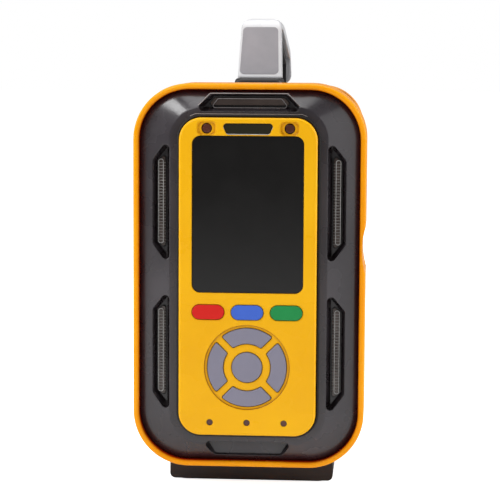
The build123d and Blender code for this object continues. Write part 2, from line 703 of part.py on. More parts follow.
# Main housing: open tube with corner bosses, grip grooves, the port bay and thick pads for screws
with BuildPart() as main_housing:
    body_block(CORE_INSET, HOUSING_FRONT_Y, HOUSING_REAR_Y)
    body_block(CORE_INSET + SHELL_WALL, HOUSING_FRONT_Y, HOUSING_REAR_Y, mode=Mode.SUBTRACT)
    rod(BOSS_RADIUS, HOUSING_FRONT_Y, CHASSIS_Y, CASE_CORNERS)
    rod(BOSS_RADIUS, HOUSING_REAR_Y - BOSS_LENGTH, HOUSING_REAR_Y, CASE_CORNERS)
    rod(SCREW_RADIUS + SCREW_GAP, HOUSING_FRONT_Y, CHASSIS_Y, CASE_CORNERS, mode=Mode.SUBTRACT)
    rod(
        SCREW_RADIUS + THREAD_GAP,
        HOUSING_REAR_Y - BOSS_LENGTH,
        HOUSING_REAR_Y,
        CASE_CORNERS,
        mode=Mode.SUBTRACT,
    )
    pad_top = CORE_BOTTOM + SHELL_WALL + PAD_HEIGHT
    post(PAD_RADIUS, CORE_BOTTOM + SHELL_WALL / 2, pad_top, BASE_CORNERS)
    post(SCREW_RADIUS + THREAD_GAP, CORE_BOTTOM, pad_top, BASE_CORNERS, mode=Mode.SUBTRACT)
    hole_bottom = CORE_TOP - SHELL_WALL
    post(SCREW_RADIUS + SCREW_GAP, hole_bottom, CORE_TOP, HANDLE_SCREWS, mode=Mode.SUBTRACT)
    with BuildSketch(Plane.YZ.offset(BAY_FLOOR_X - BAY_WALL)):
        with Locations(((BAY_FRONT + BAY_REAR) / 2, PORT_Z)):
            Rectangle(BAY_REAR - BAY_FRONT + 2 * BAY_WALL, BAY_HEIGHT + 2 * BAY_WALL)
    extrude(amount=BAY_DEPTH + BAY_WALL - SHELL_WALL / 2)
    with BuildSketch(Plane.YZ.offset(BAY_FLOOR_X)):
        with Locations(((BAY_FRONT + BAY_REAR) / 2, PORT_Z)):
            Rectangle(BAY_REAR - BAY_FRONT, BAY_HEIGHT)
    extrude(amount=2 * BAY_DEPTH, mode=Mode.SUBTRACT)
    with BuildSketch(Plane.XY.offset(PORT_Z - BAY_HEIGHT / 2 - TRUNNION_LENGTH - COVER_GAP)):
        with Locations((HINGE_X, HINGE_Y)):
            Circle(TRUNNION_RADIUS + TRUNNION_GAP)
    extrude(amount=BAY_HEIGHT + 2 * (TRUNNION_LENGTH + COVER_GAP), mode=Mode.SUBTRACT)
    with BuildSketch(Plane.YZ.offset(BAY_FLOOR_X)):
        with Locations((PORT_Y - PORT_PITCH / 2, PORT_Z)):
            Rectangle(JACK_SIZE + 2 * PORT_GAP, JACK_SIZE + 2 * PORT_GAP)
        with Locations((PORT_Y + PORT_PITCH / 2, PORT_Z)):
            SlotOverall(SOCKET_WIDTH + 2 * PORT_GAP, SOCKET_HEIGHT + 2 * PORT_GAP)
    extrude(amount=-BAY_WALL, mode=Mode.SUBTRACT)
    for side in (-1, 1):
        with BuildSketch(Plane.YZ.offset(side * CORE_SIDE)):
            with Locations((GRIP_REAR, Z_MID)):
                with GridLocations(GRIP_PITCH, 0, GRIP_COUNT, 1):
                    SlotOverall(GRIP_HEIGHT, GRIP_GROOVE, rotation=90)
        extrude(amount=-side * GRIP_DEPTH, mode=Mode.SUBTRACT)
main_housing.part.label = "main_housing"
export_step(main_housing.part, "parts/main_housing.step")

# Rear cover: dished shell with the nozzle holes and the sounder grille
with BuildPart() as rear_cover:
    body_block(COVER_INSET, COVER_FRONT_Y, COVER_BACK_Y)
    chamfer(rear_cover.faces().sort_by(Axis.Y)[-1].edges(), REAR_CHAMFER)
    body_block(CORE_INSET + SHELL_WALL, COVER_FRONT_Y, BUZZER_BACK_Y, mode=Mode.SUBTRACT)
    panel_y = COVER_BACK_Y - PANEL_DEPTH
    body_block(COVER_INSET + PANEL_MARGIN, panel_y, COVER_BACK_Y, mode=Mode.SUBTRACT)
    rod(BOSS_RADIUS, COVER_FRONT_Y, COVER_BACK_Y - REAR_CHAMFER, CASE_CORNERS)
    rod(SCREW_RADIUS + SCREW_GAP, COVER_FRONT_Y, COVER_BACK_Y, CASE_CORNERS, mode=Mode.SUBTRACT)
    rod(SCREW_HEAD_RADIUS + SCREW_GAP, HEAD_SEAT_Y, COVER_BACK_Y, CASE_CORNERS, mode=Mode.SUBTRACT)
    rod(
        NOZZLE_THREAD + THREAD_GAP,
        COVER_BACK_Y - SHELL_WALL - 2 * PANEL_DEPTH,
        COVER_BACK_Y,
        NOZZLES,
        mode=Mode.SUBTRACT,
    )
    with BuildSketch(at_y(COVER_BACK_Y)):
        with Locations((0, BUZZER_Z)):
            with GridLocations(0, GRILLE_PITCH, 1, GRILLE_COUNT):
                SlotOverall(GRILLE_LENGTH, GRILLE_SLOT)
    extrude(amount=2 * SHELL_WALL, mode=Mode.SUBTRACT)
    cup_front = BUZZER_BACK_Y - BUZZER_LENGTH / 2
    rod(BUZZER_RADIUS + BUZZER_CUP_WALL, cup_front, BUZZER_BACK_Y, [(0, BUZZER_Z)])
    rod(BUZZER_RADIUS + FIT_GAP, cup_front, BUZZER_BACK_Y, [(0, BUZZER_Z)], mode=Mode.SUBTRACT)
rear_cover.part.label = "rear_cover"
export_step(rear_cover.part, "parts/rear_cover.step")

# Sounder in its cup behind the grille
with BuildPart() as buzzer:
    rod(BUZZER_RADIUS, BUZZER_BACK_Y - BUZZER_LENGTH, BUZZER_BACK_Y, [(0, BUZZER_Z)])
    hole_front = BUZZER_BACK_Y - BUZZER_HOLE_DEPTH
    rod(BUZZER_HOLE_RADIUS, hole_front, BUZZER_BACK_Y, [(0, BUZZER_Z)], mode=Mode.SUBTRACT)
buzzer.part.label = "buzzer"
export_step(buzzer.part, "parts/buzzer.step")


# Cap screws
def screw_along_y(head_y, length, places, direction):
    """Cap screws whose heads sit at head_y; direction is the way the shanks point along Y."""
    shank_end = head_y + direction * length
    head_end = head_y - direction * SCREW_HEAD_HEIGHT
    socket_end = head_end + direction * SCREW_SOCKET_DEPTH
    rod(SCREW_RADIUS, min(head_y, shank_end), max(head_y, shank_end), places)
    rod(SCREW_HEAD_RADIUS, min(head_y, head_end), max(head_y, head_end), places)
    with BuildSketch(at_y(max(head_end, socket_end))) as sockets:
        with Locations(*places):
            RegularPolygon(SCREW_SOCKET, 6)
    extrude(sockets.sketch, amount=SCREW_SOCKET_DEPTH, mode=Mode.SUBTRACT)


def screw_along_z(head_z, length, places, direction):
    """Cap screws whose heads sit at head_z; direction is the way the shanks point along Z."""
    shank_end = head_z + direction * length
    head_end = head_z - direction * SCREW_HEAD_HEIGHT
    socket_end = head_end + direction * SCREW_SOCKET_DEPTH
    post(SCREW_RADIUS, min(head_z, shank_end), max(head_z, shank_end), places)
    post(SCREW_HEAD_RADIUS, min(head_z, head_end), max(head_z, head_end), places)
    with BuildSketch(Plane.XY.offset(min(head_end, socket_end))) as sockets:
        with Locations(*places):
            RegularPolygon(SCREW_SOCKET, 6)
    extrude(sockets.sketch, amount=SCREW_SOCKET_DEPTH, mode=Mode.SUBTRACT)


with BuildPart() as case_screws:
    screw_along_y(HEAD_SEAT_Y, CASE_SCREW_LENGTH, CASE_CORNERS, -1)
    screw_along_y(CHASSIS_BACK_Y, CASE_SCREW_LENGTH, CASE_CORNERS, -1)
case_screws.part.label = "case_screws"
export_step(case_screws.part, "parts/case_screws.step")

with BuildPart() as base_screws:
    screw_along_z(BASE_HEAD_Z, BASE_SCREW_LENGTH - BASE_SCREW_SLACK, BASE_CORNERS, 1)
base_screws.part.label = "base_screws"
export_step(base_screws.part, "parts/base_screws.step")

with BuildPart() as handle_screws:
    screw_along_z(CORE_TOP - SHELL_WALL, HANDLE_SCREW_LENGTH, HANDLE_SCREWS, 1)
handle_screws.part.label = "handle_screws"
export_step(handle_screws.part, "parts/handle_screws.step")

# Foot: cradle that follows the housing and clears both bumpers
with BuildPart() as base_foot:
    with BuildSketch(Plane.XZ.offset(FOOT_LENGTH / 2)) as profile:
        with Locations((0, (SOLE_PROUD + FOOT_TOP) / 2)):
            Rectangle(FOOT_WIDTH, FOOT_TOP - SOLE_PROUD)
        fillet(profile.vertices().group_by(Axis.Z)[0], FOOT_ROUND)
    extrude(amount=-FOOT_LENGTH)
    body_block(CORE_INSET, -FOOT_LENGTH, FOOT_LENGTH, mode=Mode.SUBTRACT)
    front_clear_y = FRONT_BUMPER_BACK_Y + FIT_GAP
    rear_clear = CORE_INSET - REAR_BUMPER_PROUD - FIT_GAP
    body_block(-FIT_GAP, -FOOT_LENGTH, front_clear_y, mode=Mode.SUBTRACT)
    body_block(rear_clear, HOUSING_REAR_Y, FOOT_LENGTH, mode=Mode.SUBTRACT)
    with BuildSketch(Plane.XY.offset(SOLE_PROUD)):
        RectangleRounded(FOOT_WIDTH - 2 * SOLE_MARGIN, FOOT_LENGTH - 2 * SOLE_MARGIN, SOLE_RADIUS)
    extrude(amount=SOLE_THICKNESS - SOLE_PROUD, mode=Mode.SUBTRACT)
    post(SCREW_RADIUS + SCREW_GAP, 0.0, FOOT_TOP, BASE_CORNERS, mode=Mode.SUBTRACT)
    post(SCREW_HEAD_RADIUS + SCREW_GAP, 0.0, BASE_HEAD_Z, BASE_CORNERS, mode=Mode.SUBTRACT)
base_foot.part.label = "base_foot"
export_step(base_foot.part, "parts/base_foot.step")

with BuildPart() as base_sole:
    with BuildSketch():
        RectangleRounded(
            FOOT_WIDTH - 2 * SOLE_MARGIN - 2 * FIT_GAP,
            FOOT_LENGTH - 2 * SOLE_MARGIN - 2 * FIT_GAP,
            SOLE_RADIUS - FIT_GAP,
        )
    extrude(amount=SOLE_THICKNESS)
base_sole.part.label = "base_sole"
export_step(base_sole.part, "parts/base_sole.step")

# Handle: silver shell bent over a black liner, on two black feet
HANDLE_PATH = [
    (HANDLE_LEG_FRONT, FRONT_LEG_Z),
    (HANDLE_LEG_FRONT + HANDLE_LEAN, HANDLE_TOP),
    (HANDLE_LEG_FRONT + HANDLE_LEAN + HANDLE_CREST_LENGTH, HANDLE_TOP),
    (HANDLE_LEG_REAR - HANDLE_TAIL_LEAN, BODY_LIFT + BODY_HEIGHT + HANDLE_TAIL),
    (HANDLE_LEG_REAR, REAR_LEG_Z),
]
HANDLE_BENDS = (HANDLE_CREST_BEND, HANDLE_BACK_BEND, HANDLE_TAIL_BEND)
HANDLE_SPAN = HANDLE_LEG_REAR - HANDLE_LEG_FRONT


def handle_band(outer, inner):
    """Band that follows the handle's path, between two distances inside it, on top of the feet."""
    with BuildSketch(Plane.YZ) as band:
        with BuildLine():
            path = FilletPolyline(*HANDLE_PATH, radius=HANDLE_BENDS)
            offset(path, amount=inner, side=Side.RIGHT)
        make_face()
    middle_y = HANDLE_LEG_FRONT + HANDLE_SPAN / 2
    with BuildSketch(Plane.YZ) as above_feet:
        with Locations((middle_y, FRONT_LEG_Z)):
            Rectangle(HANDLE_SPAN, HANDLE_SPAN, align=(Align.MAX, Align.MIN))
        with Locations((middle_y, REAR_LEG_Z)):
            Rectangle(HANDLE_SPAN, HANDLE_SPAN, align=(Align.MIN, Align.MIN))
    shape = band.sketch & above_feet.sketch
    if outer == 0.0:
        return shape
    return shape - handle_band(0.0, outer)


with BuildPart() as handle_shell:
    extrude(handle_band(0.0, HANDLE_SHELL), amount=HANDLE_HALF_WIDTH, both=True)
    with BuildSketch(at_y(HANDLE_LEG_FRONT - HANDLE_SPAN)) as front_view:
        with BuildLine():
            Polyline(
                (-HANDLE_HALF_WIDTH, REAR_LEG_Z),
                (HANDLE_HALF_WIDTH, REAR_LEG_Z),
                (HANDLE_HALF_TOP, HANDLE_TOP),
                (-HANDLE_HALF_TOP, HANDLE_TOP),
                close=True,
            )
        make_face()
        fillet(front_view.vertices().group_by(Axis.Z)[-1], HANDLE_CORNER)
    extrude(amount=-3 * HANDLE_SPAN, mode=Mode.INTERSECT)
    hole_top = HANDLE_SCREW_TOP + THREAD_GAP
    post(SCREW_RADIUS + THREAD_GAP, CORE_TOP, hole_top, HANDLE_SCREWS, mode=Mode.SUBTRACT)
handle_shell.part.label = "handle_shell"
export_step(handle_shell.part, "parts/handle_shell.step")

with BuildPart() as handle_liner:
    extrude(
        handle_band(HANDLE_SHELL, HANDLE_SHELL + HANDLE_LINER),
        amount=HANDLE_HALF_TOP - HANDLE_LINER_INSET,
        both=True,
    )
handle_liner.part.label = "handle_liner"
export_step(handle_liner.part, "parts/handle_liner.step")


def handle_foot(y, length, height, rounding):
    """One foot under a leg of the handle, with its top edge rounded."""
    with BuildSketch(Plane.XY.offset(CORE_TOP)) as outline:
        with Locations((0, y)):
            RectangleRounded(HANDLE_FOOT_WIDTH, length, HANDLE_FOOT_CORNER)
    extrude(outline.sketch, amount=height)
    fillet(handle_feet.faces().sort_by(Axis.Z)[-1].edges(), rounding)


with BuildPart() as handle_feet:
    handle_foot(REAR_FOOT_Y, REAR_FOOT_LENGTH, REAR_FOOT_HEIGHT, REAR_FOOT_ROUND)
    handle_foot(FRONT_FOOT_Y, FRONT_FOOT_LENGTH, FRONT_FOOT_HEIGHT, FRONT_FOOT_ROUND)
    post(SCREW_RADIUS + SCREW_GAP, CORE_TOP, FRONT_LEG_Z, HANDLE_SCREWS, mode=Mode.SUBTRACT)
handle_feet.part.label = "handle_feet"
export_step(handle_feet.part, "parts/handle_feet.step")


# Control face
def ring_quarters(grow, y):
    """The four arc keys' outlines, grown by a clearance."""
    with BuildSketch(at_y(y)) as outline:
        with Locations((0, NAV_Z)):
            Circle(NAV_OUTER + grow)
            Circle(NAV_INNER - grow, mode=Mode.SUBTRACT)
            Rectangle(3 * NAV_OUTER, NAV_SPOKE - 2 * grow, rotation=45, mode=Mode.SUBTRACT)
            Rectangle(3 * NAV_OUTER, NAV_SPOKE - 2 * grow, rotation=-45, mode=Mode.SUBTRACT)
        fillet(outline.vertices(), NAV_CORNER)
    return outline.sketch


def alarm_points(grow):
    """Trapezoid of the alarm window, narrower below, grown by a clearance."""
    half = ALARM_WIDTH / 2 + grow
    high = ALARM_Z + ALARM_HEIGHT / 2 + grow
    low = ALARM_Z - ALARM_HEIGHT / 2 - grow
    return [(-half, high), (half, high), (half - ALARM_SLANT, low), (-half + ALARM_SLANT, low)]


SOFT_KEYS = {
    "key_red": -SOFT_KEY_PITCH,
    "key_blue": 0.0,
    "key_green": SOFT_KEY_PITCH,
}
STATUS_PLACES = [(index * STATUS_PITCH, STATUS_Z) for index in (-1, 0, 1)]
INDICATOR_PLACES = [(side * INDICATOR_OFFSET, INDICATOR_Z) for side in (-1, 1)]
with BuildPart() as face_plate:
    block(FACE_WIDTH, FACE_HEIGHT, FACE_RADIUS, FACE_Y, FACE_BACK_Y, z=FACE_Z)
    fillet(face_plate.faces().sort_by(Axis.Y)[0].edges(), FACE_ROUND)
    block(
        FACE_WIDTH - 2 * FACE_WALL,
        FACE_HEIGHT - 2 * FACE_WALL,
        FACE_RADIUS - FACE_WALL,
        FACE_INSIDE_Y,
        FACE_BACK_Y,
        z=FACE_Z,
        mode=Mode.SUBTRACT,
    )
    block(
        SCREEN_WIDTH,
        SCREEN_HEIGHT,
        SCREEN_RADIUS,
        FACE_Y,
        GLASS_Y + GLASS_THICKNESS,
        z=SCREEN_Z,
        mode=Mode.SUBTRACT,
    )
    block(
        SCREEN_WIDTH - 2 * SCREEN_LEDGE,
        SCREEN_HEIGHT - 2 * SCREEN_LEDGE,
        SCREEN_RADIUS / 2,
        FACE_Y,
        FACE_INSIDE_Y,
        z=SCREEN_Z,
        mode=Mode.SUBTRACT,
    )
    rod(NAV_DISH_RADIUS, FACE_Y, FACE_Y + NAV_DISH_DEPTH, [(0, NAV_Z)], mode=Mode.SUBTRACT)
    extrude(ring_quarters(KEY_GAP, FACE_INSIDE_Y), amount=2 * FACE_WALL, mode=Mode.SUBTRACT)
    rod(NAV_OK_RADIUS + KEY_GAP, FACE_Y, FACE_INSIDE_Y, [(0, NAV_Z)], mode=Mode.SUBTRACT)
    with BuildSketch(at_y(FACE_INSIDE_Y)):
        with Locations(*[(x, SOFT_KEY_Z) for x in SOFT_KEYS.values()]):
            SlotOverall(SOFT_KEY_WIDTH + 2 * KEY_GAP, SOFT_KEY_HEIGHT + 2 * KEY_GAP)
    extrude(amount=2 * FACE_WALL, mode=Mode.SUBTRACT)
    rod(STATUS_RADIUS, FACE_Y, FACE_INSIDE_Y, STATUS_PLACES, mode=Mode.SUBTRACT)
    with BuildSketch(at_y(FACE_Y)) as dishes:
        with Locations(*INDICATOR_PLACES):
            RectangleRounded(INDICATOR_WIDTH, INDICATOR_HEIGHT, INDICATOR_CORNER)
    extrude(amount=-INDICATOR_DEPTH, taper=INDICATOR_TAPER, mode=Mode.SUBTRACT)
    rod(INDICATOR_RADIUS, FACE_Y, FACE_INSIDE_Y, INDICATOR_PLACES, mode=Mode.SUBTRACT)
    extrude(
        outline_face(alarm_points(WINDOW_GAP), ALARM_CORNER + WINDOW_GAP, FACE_INSIDE_Y),
        amount=2 * FACE_WALL,
        mode=Mode.SUBTRACT,
    )
face_plate.part.label = "face_plate"
export_step(face_plate.part, "parts/face_plate.step")

with BuildPart() as screen_glass:
    block(
        SCREEN_WIDTH - 2 * SCREEN_GAP,
        SCREEN_HEIGHT - 2 * SCREEN_GAP,
        SCREEN_RADIUS - SCREEN_GAP,
        GLASS_Y,
        GLASS_Y + GLASS_THICKNESS,
        z=SCREEN_Z,
    )
screen_glass.part.label = "screen_glass"
export_step(screen_glass.part, "parts/screen_glass.step")

with BuildPart() as lcd_module:
    plate(
        SCREEN_WIDTH + 2 * LCD_MARGIN,
        SCREEN_HEIGHT - 2 * LCD_MARGIN,
        FACE_INSIDE_Y + LCD_GAP,
        FACE_INSIDE_Y + LCD_GAP + LCD_THICKNESS,
        z=SCREEN_Z,
    )
    plate(
        SCREEN_WIDTH - 2 * (SCREEN_LEDGE + LCD_STEP),
        SCREEN_HEIGHT - 2 * (SCREEN_LEDGE + LCD_STEP),
        FACE_INSIDE_Y - LCD_GAP / 2,
        FACE_INSIDE_Y + LCD_GAP,
        z=SCREEN_Z,
    )
    with BuildSketch(at_y(KEYPAD_FRONT_Y)):
        with Locations((0, SCREEN_Z)):
            post_x = SCREEN_WIDTH - 2 * LCD_POST_INSET
            with GridLocations(post_x, SCREEN_HEIGHT - 2 * LCD_POST_INSET, 2, 2):
                Rectangle(LCD_POST_SIZE, LCD_POST_SIZE)
    extrude(amount=KEYPAD_FRONT_Y - FACE_INSIDE_Y - LCD_GAP - LCD_THICKNESS)
lcd_module.part.label = "lcd_module"
export_step(lcd_module.part, "parts/lcd_module.step")

with BuildPart() as alarm_window:
    extrude(
        outline_face(alarm_points(0.0), ALARM_CORNER, FACE_INSIDE_Y),
        amount=FACE_INSIDE_Y - FACE_Y - ALARM_RECESS,
    )
    plate(
        ALARM_WIDTH + 2 * ALARM_FLANGE,
        ALARM_HEIGHT + 2 * ALARM_FLANGE_RISE,
        FACE_INSIDE_Y,
        FACE_INSIDE_Y + ALARM_FLANGE_THICKNESS,
        z=ALARM_Z,
    )
alarm_window.part.label = "alarm_window"
export_step(alarm_window.part, "parts/alarm_window.step")

with BuildPart() as indicator_lenses:
    dome_y = FACE_Y + INDICATOR_DEPTH + INDICATOR_RECESS
    light_back_y = FACE_INSIDE_Y + LIGHT_FLANGE_THICKNESS
    rod(INDICATOR_RADIUS - WINDOW_GAP, dome_y, light_back_y, INDICATOR_PLACES)
    fillet(indicator_lenses.faces().filter_by(Axis.Y).group_by(Axis.Y)[0].edges(), INDICATOR_DOME)
indicator_lenses.part.label = "indicator_lenses"
export_step(indicator_lenses.part, "parts/indicator_lenses.step")

with BuildPart() as status_lights:
    rod(STATUS_RADIUS - WINDOW_GAP, FACE_Y + STATUS_RECESS, FACE_INSIDE_Y, STATUS_PLACES)
    rod(STATUS_RADIUS + STATUS_FLANGE, FACE_INSIDE_Y, light_back_y, STATUS_PLACES)
status_lights.part.label = "status_lights"
export_step(status_lights.part, "parts/status_lights.step")

SEAT_Y = FACE_INSIDE_Y + KEY_SEAT_GAP


# Coloured keys: pill caps with a flange behind the plate and a stem over the switch
def make_soft_key(name, x):
    with BuildPart() as key:
        with BuildSketch(at_y(SEAT_Y)):
            with Locations((x, SOFT_KEY_Z)):
                SlotOverall(SOFT_KEY_WIDTH, SOFT_KEY_HEIGHT)
        extrude(amount=SEAT_Y - FACE_Y + KEY_PROUD)
        fillet(key.faces().sort_by(Axis.Y)[0].edges(), KEY_ROUND)
        with BuildSketch(at_y(SEAT_Y)):
            with Locations((x, SOFT_KEY_Z)):
                SlotOverall(SOFT_KEY_WIDTH + 2 * KEY_FLANGE, SOFT_KEY_HEIGHT + 2 * KEY_FLANGE)
        extrude(amount=-KEY_FLANGE_THICKNESS)
        rod(KEY_STEM_RADIUS, SEAT_Y, KEY_STEM_Y, [(x, SOFT_KEY_Z)])
    key.part.label = name
    export_step(key.part, f"parts/{name}.step")


for name, x in SOFT_KEYS.items():
    make_soft_key(name, x)

NAV_KEYS = {
    "nav_right": (Axis.X, -1, (NAV_MID_RADIUS, NAV_Z)),
    "nav_left": (Axis.X, 0, (-NAV_MID_RADIUS, NAV_Z)),
    "nav_up": (Axis.Z, -1, (0.0, NAV_Z + NAV_MID_RADIUS)),
    "nav_down": (Axis.Z, 0, (0.0, NAV_Z - NAV_MID_RADIUS)),
}


# Arc keys
def make_nav_key(name, axis, index, stem):
    with BuildPart() as key:
        cap = ring_quarters(0.0, SEAT_Y).faces().sort_by(axis)[index]
        extrude(cap, amount=SEAT_Y - FACE_Y)
        fillet(key.faces().sort_by(Axis.Y)[0].edges(), KEY_ROUND)
        flange = ring_quarters(KEY_FLANGE, SEAT_Y).faces().sort_by(axis)[index]
        extrude(flange, amount=-KEY_FLANGE_THICKNESS)
        rod(KEY_STEM_RADIUS, SEAT_Y, KEY_STEM_Y, [stem])
    key.part.label = name
    export_step(key.part, f"parts/{name}.step")


for name, (axis, index, stem) in NAV_KEYS.items():
    make_nav_key(name, axis, index, stem)

with BuildPart() as nav_ok:
    rod(NAV_OK_RADIUS, FACE_Y, SEAT_Y, [(0, NAV_Z)])
    fillet(nav_ok.faces().sort_by(Axis.Y)[0].edges(), KEY_ROUND)
    rod(NAV_OK_RADIUS + KEY_FLANGE, SEAT_Y, SEAT_Y + KEY_FLANGE_THICKNESS, [(0, NAV_Z)])
    rod(KEY_STEM_RADIUS, SEAT_Y, KEY_STEM_Y, [(0, NAV_Z)])
nav_ok.part.label = "nav_ok"
export_step(nav_ok.part, "parts/nav_ok.step")

# Board behind the face with one switch for each key
SWITCH_PLACES = [(x, SOFT_KEY_Z) for x in SOFT_KEYS.values()]
SWITCH_PLACES += [stem for axis, index, stem in NAV_KEYS.values()]
SWITCH_PLACES += [(0.0, NAV_Z)]
with BuildPart() as keypad_board:
    block(
        FACE_WIDTH - 2 * FACE_WALL - 2 * FIT_GAP,
        FACE_HEIGHT - 2 * FACE_WALL - 2 * FIT_GAP,
        FACE_RADIUS - FACE_WALL - FIT_GAP,
        KEYPAD_FRONT_Y,
        KEYPAD_FRONT_Y + BOARD_THICKNESS,
        z=FACE_Z,
    )
keypad_board.part.label = "keypad_board"
export_step(keypad_board.part, "parts/keypad_board.step")

with BuildPart() as tact_switches:
    with BuildSketch(at_y(KEYPAD_FRONT_Y)):
        with Locations(*SWITCH_PLACES):
            Rectangle(SWITCH_SIZE, SWITCH_SIZE)
    extrude(amount=SWITCH_HEIGHT)
    rod(PLUNGER_RADIUS, PLUNGER_Y, KEYPAD_FRONT_Y - SWITCH_HEIGHT, SWITCH_PLACES)
tact_switches.part.label = "tact_switches"
export_step(tact_switches.part, "parts/tact_switches.step")

# Chassis: upright plate on the front bosses, with a shelf for the pump and the gas block
POST_X = MAIN_BOARD_WIDTH / 2 - STANDOFF_INSET
POST_Z = MAIN_BOARD_HEIGHT / 2 - STANDOFF_INSET
BOARD_POSTS = [(side * POST_X, Z_MID + end * POST_Z) for side in (-1, 1) for end in (-1, 1)]
CRADLE_X = PUMP_X - MOTOR_LENGTH / 2
CHASSIS_INSET = CORE_INSET + SHELL_WALL + CHASSIS_MARGIN
CHASSIS_WIDTH = BODY_WIDTH - 2 * CHASSIS_INSET
with BuildPart() as chassis:
    body_block(CHASSIS_INSET, CHASSIS_Y, CHASSIS_BACK_Y)
    block(
        CHASSIS_WIDTH - 2 * CHASSIS_WINDOW_MARGIN,
        CHASSIS_WINDOW_HEIGHT,
        CHASSIS_WINDOW_CORNER,
        CHASSIS_Y,
        CHASSIS_BACK_Y,
        z=Z_MID + CHASSIS_WINDOW_RISE,
        mode=Mode.SUBTRACT,
    )
    notch_width = 2 * (CORE_SIDE - BAY_FLOOR_X + BAY_WALL + BAY_CLEAR)
    plate(
        notch_width,
        BAY_HEIGHT + 2 * (BAY_WALL + BAY_CLEAR),
        CHASSIS_Y,
        CHASSIS_BACK_Y,
        x=CORE_SIDE,
        z=PORT_Z,
        mode=Mode.SUBTRACT,
    )
    with BuildSketch(Plane.XY.offset(SHELF_Z)):
        with Locations((0, CHASSIS_Y + SHELF_LENGTH / 2)):
            Rectangle(SHELF_WIDTH, SHELF_LENGTH)
    extrude(amount=CHASSIS_THICKNESS)
    rod(STANDOFF_RADIUS, MAIN_BOARD_Y, CHASSIS_Y, BOARD_POSTS)
    rod(SCREW_RADIUS + SCREW_GAP, CHASSIS_Y, CHASSIS_BACK_Y, CASE_CORNERS, mode=Mode.SUBTRACT)
    with BuildSketch(Plane.XY.offset(SHELF_TOP)):
        with Locations((CRADLE_X, PUMP_Y)):
            Rectangle(CRADLE_WIDTH, CRADLE_LENGTH)
    extrude(amount=PUMP_RISE)
    with BuildSketch(Plane.YZ.offset(CRADLE_X)) as saddle:
        with Locations((PUMP_Y, PUMP_Z)):
            Circle(MOTOR_RADIUS + FIT_GAP)
    extrude(amount=CRADLE_WIDTH, both=True, mode=Mode.SUBTRACT)
chassis.part.label = "chassis"
export_step(chassis.part, "parts/chassis.step")

# Main board with its larger components
CHIPS = [(-20.0, 30.0), (14.0, 36.0), (-16.0, -20.0), (18.0, -34.0), (0.0, 8.0)]
with BuildPart() as main_board:
    board_front = MAIN_BOARD_Y - BOARD_THICKNESS
    plate(MAIN_BOARD_WIDTH, MAIN_BOARD_HEIGHT, board_front, MAIN_BOARD_Y, z=Z_MID)
    with BuildSketch(at_y(board_front)):
        with Locations((0, Z_MID)):
            with Locations(*CHIPS):
                Rectangle(CHIP_SIZE, CHIP_SIZE)
    extrude(amount=CHIP_HEIGHT)
main_board.part.label = "main_board"
export_step(main_board.part, "parts/main_board.step")

# Battery in its tray on the housing floor
TRAY_WIDTH = BATTERY_WIDTH + 2 * BATTERY_GAP + 2 * TRAY_WALL
TRAY_LENGTH = BATTERY_LENGTH + 2 * BATTERY_GAP + 2 * TRAY_WALL
with BuildPart() as battery_tray:
    with BuildSketch(Plane.XY.offset(TRAY_Z)):
        Rectangle(TRAY_WIDTH, TRAY_LENGTH)
    extrude(amount=TRAY_HEIGHT)
    with BuildSketch(Plane.XY.offset(TRAY_Z + TRAY_WALL)):
        Rectangle(TRAY_WIDTH - 2 * TRAY_WALL, TRAY_LENGTH - 2 * TRAY_WALL)
    extrude(amount=TRAY_HEIGHT, mode=Mode.SUBTRACT)
    with BuildSketch(Plane.XY.offset(CORE_BOTTOM + SHELL_WALL)):
        Rectangle(TRAY_RAIL_WIDTH, TRAY_LENGTH - 2 * TRAY_RAIL_SETBACK)
    extrude(amount=TRAY_Z - CORE_BOTTOM - SHELL_WALL)
battery_tray.part.label = "battery_tray"
export_step(battery_tray.part, "parts/battery_tray.step")

with BuildPart() as battery_pack:
    with BuildSketch(Plane.XY.offset(TRAY_Z + TRAY_WALL)):
        RectangleRounded(BATTERY_WIDTH, BATTERY_LENGTH, BATTERY_CORNER)
    extrude(amount=BATTERY_HEIGHT)
    fillet(battery_pack.edges().filter_by(Axis.Y), BATTERY_ROUND)
battery_pack.part.label = "battery_pack"
export_step(battery_pack.part, "parts/battery_pack.step")

# Gas block with four round sensors plugged into its front
SENSOR_X = SENSOR_PITCH_X / 2
SENSOR_Z = SENSOR_PITCH_Z / 2
SENSOR_PLACES = [(side * SENSOR_X, MANIFOLD_Z + end * SENSOR_Z) for end in (1, -1) for side in (-1, 1)]
MANIFOLD_PORT_Z = MANIFOLD_Z + MANIFOLD_HEIGHT / 2 - MANIFOLD_PORT_INSET
MANIFOLD_PORTS = [(-NOZZLE_X, MANIFOLD_PORT_Z), (NOZZLE_X, MANIFOLD_PORT_Z)]
with BuildPart() as gas_manifold:
    block(
        MANIFOLD_WIDTH,
        MANIFOLD_HEIGHT,
        MANIFOLD_CORNER,
        MANIFOLD_Y,
        MANIFOLD_BACK_Y,
        z=MANIFOLD_Z,
    )
    seat_y = MANIFOLD_Y + SENSOR_SEAT
    spigot_y = MANIFOLD_BACK_Y + SPIGOT_LENGTH
    rod(SENSOR_RADIUS + FIT_GAP, MANIFOLD_Y, seat_y, SENSOR_PLACES, mode=Mode.SUBTRACT)
    rod(SENSOR_RADIUS - SENSOR_LIP, seat_y, seat_y + SENSOR_SEAT, SENSOR_PLACES, mode=Mode.SUBTRACT)
    rod(SPIGOT_RADIUS, MANIFOLD_BACK_Y, spigot_y, MANIFOLD_PORTS)
    rod(SPIGOT_RADIUS / 2, seat_y + SENSOR_SEAT, spigot_y, MANIFOLD_PORTS, mode=Mode.SUBTRACT)
gas_manifold.part.label = "gas_manifold"
export_step(gas_manifold.part, "parts/gas_manifold.step")

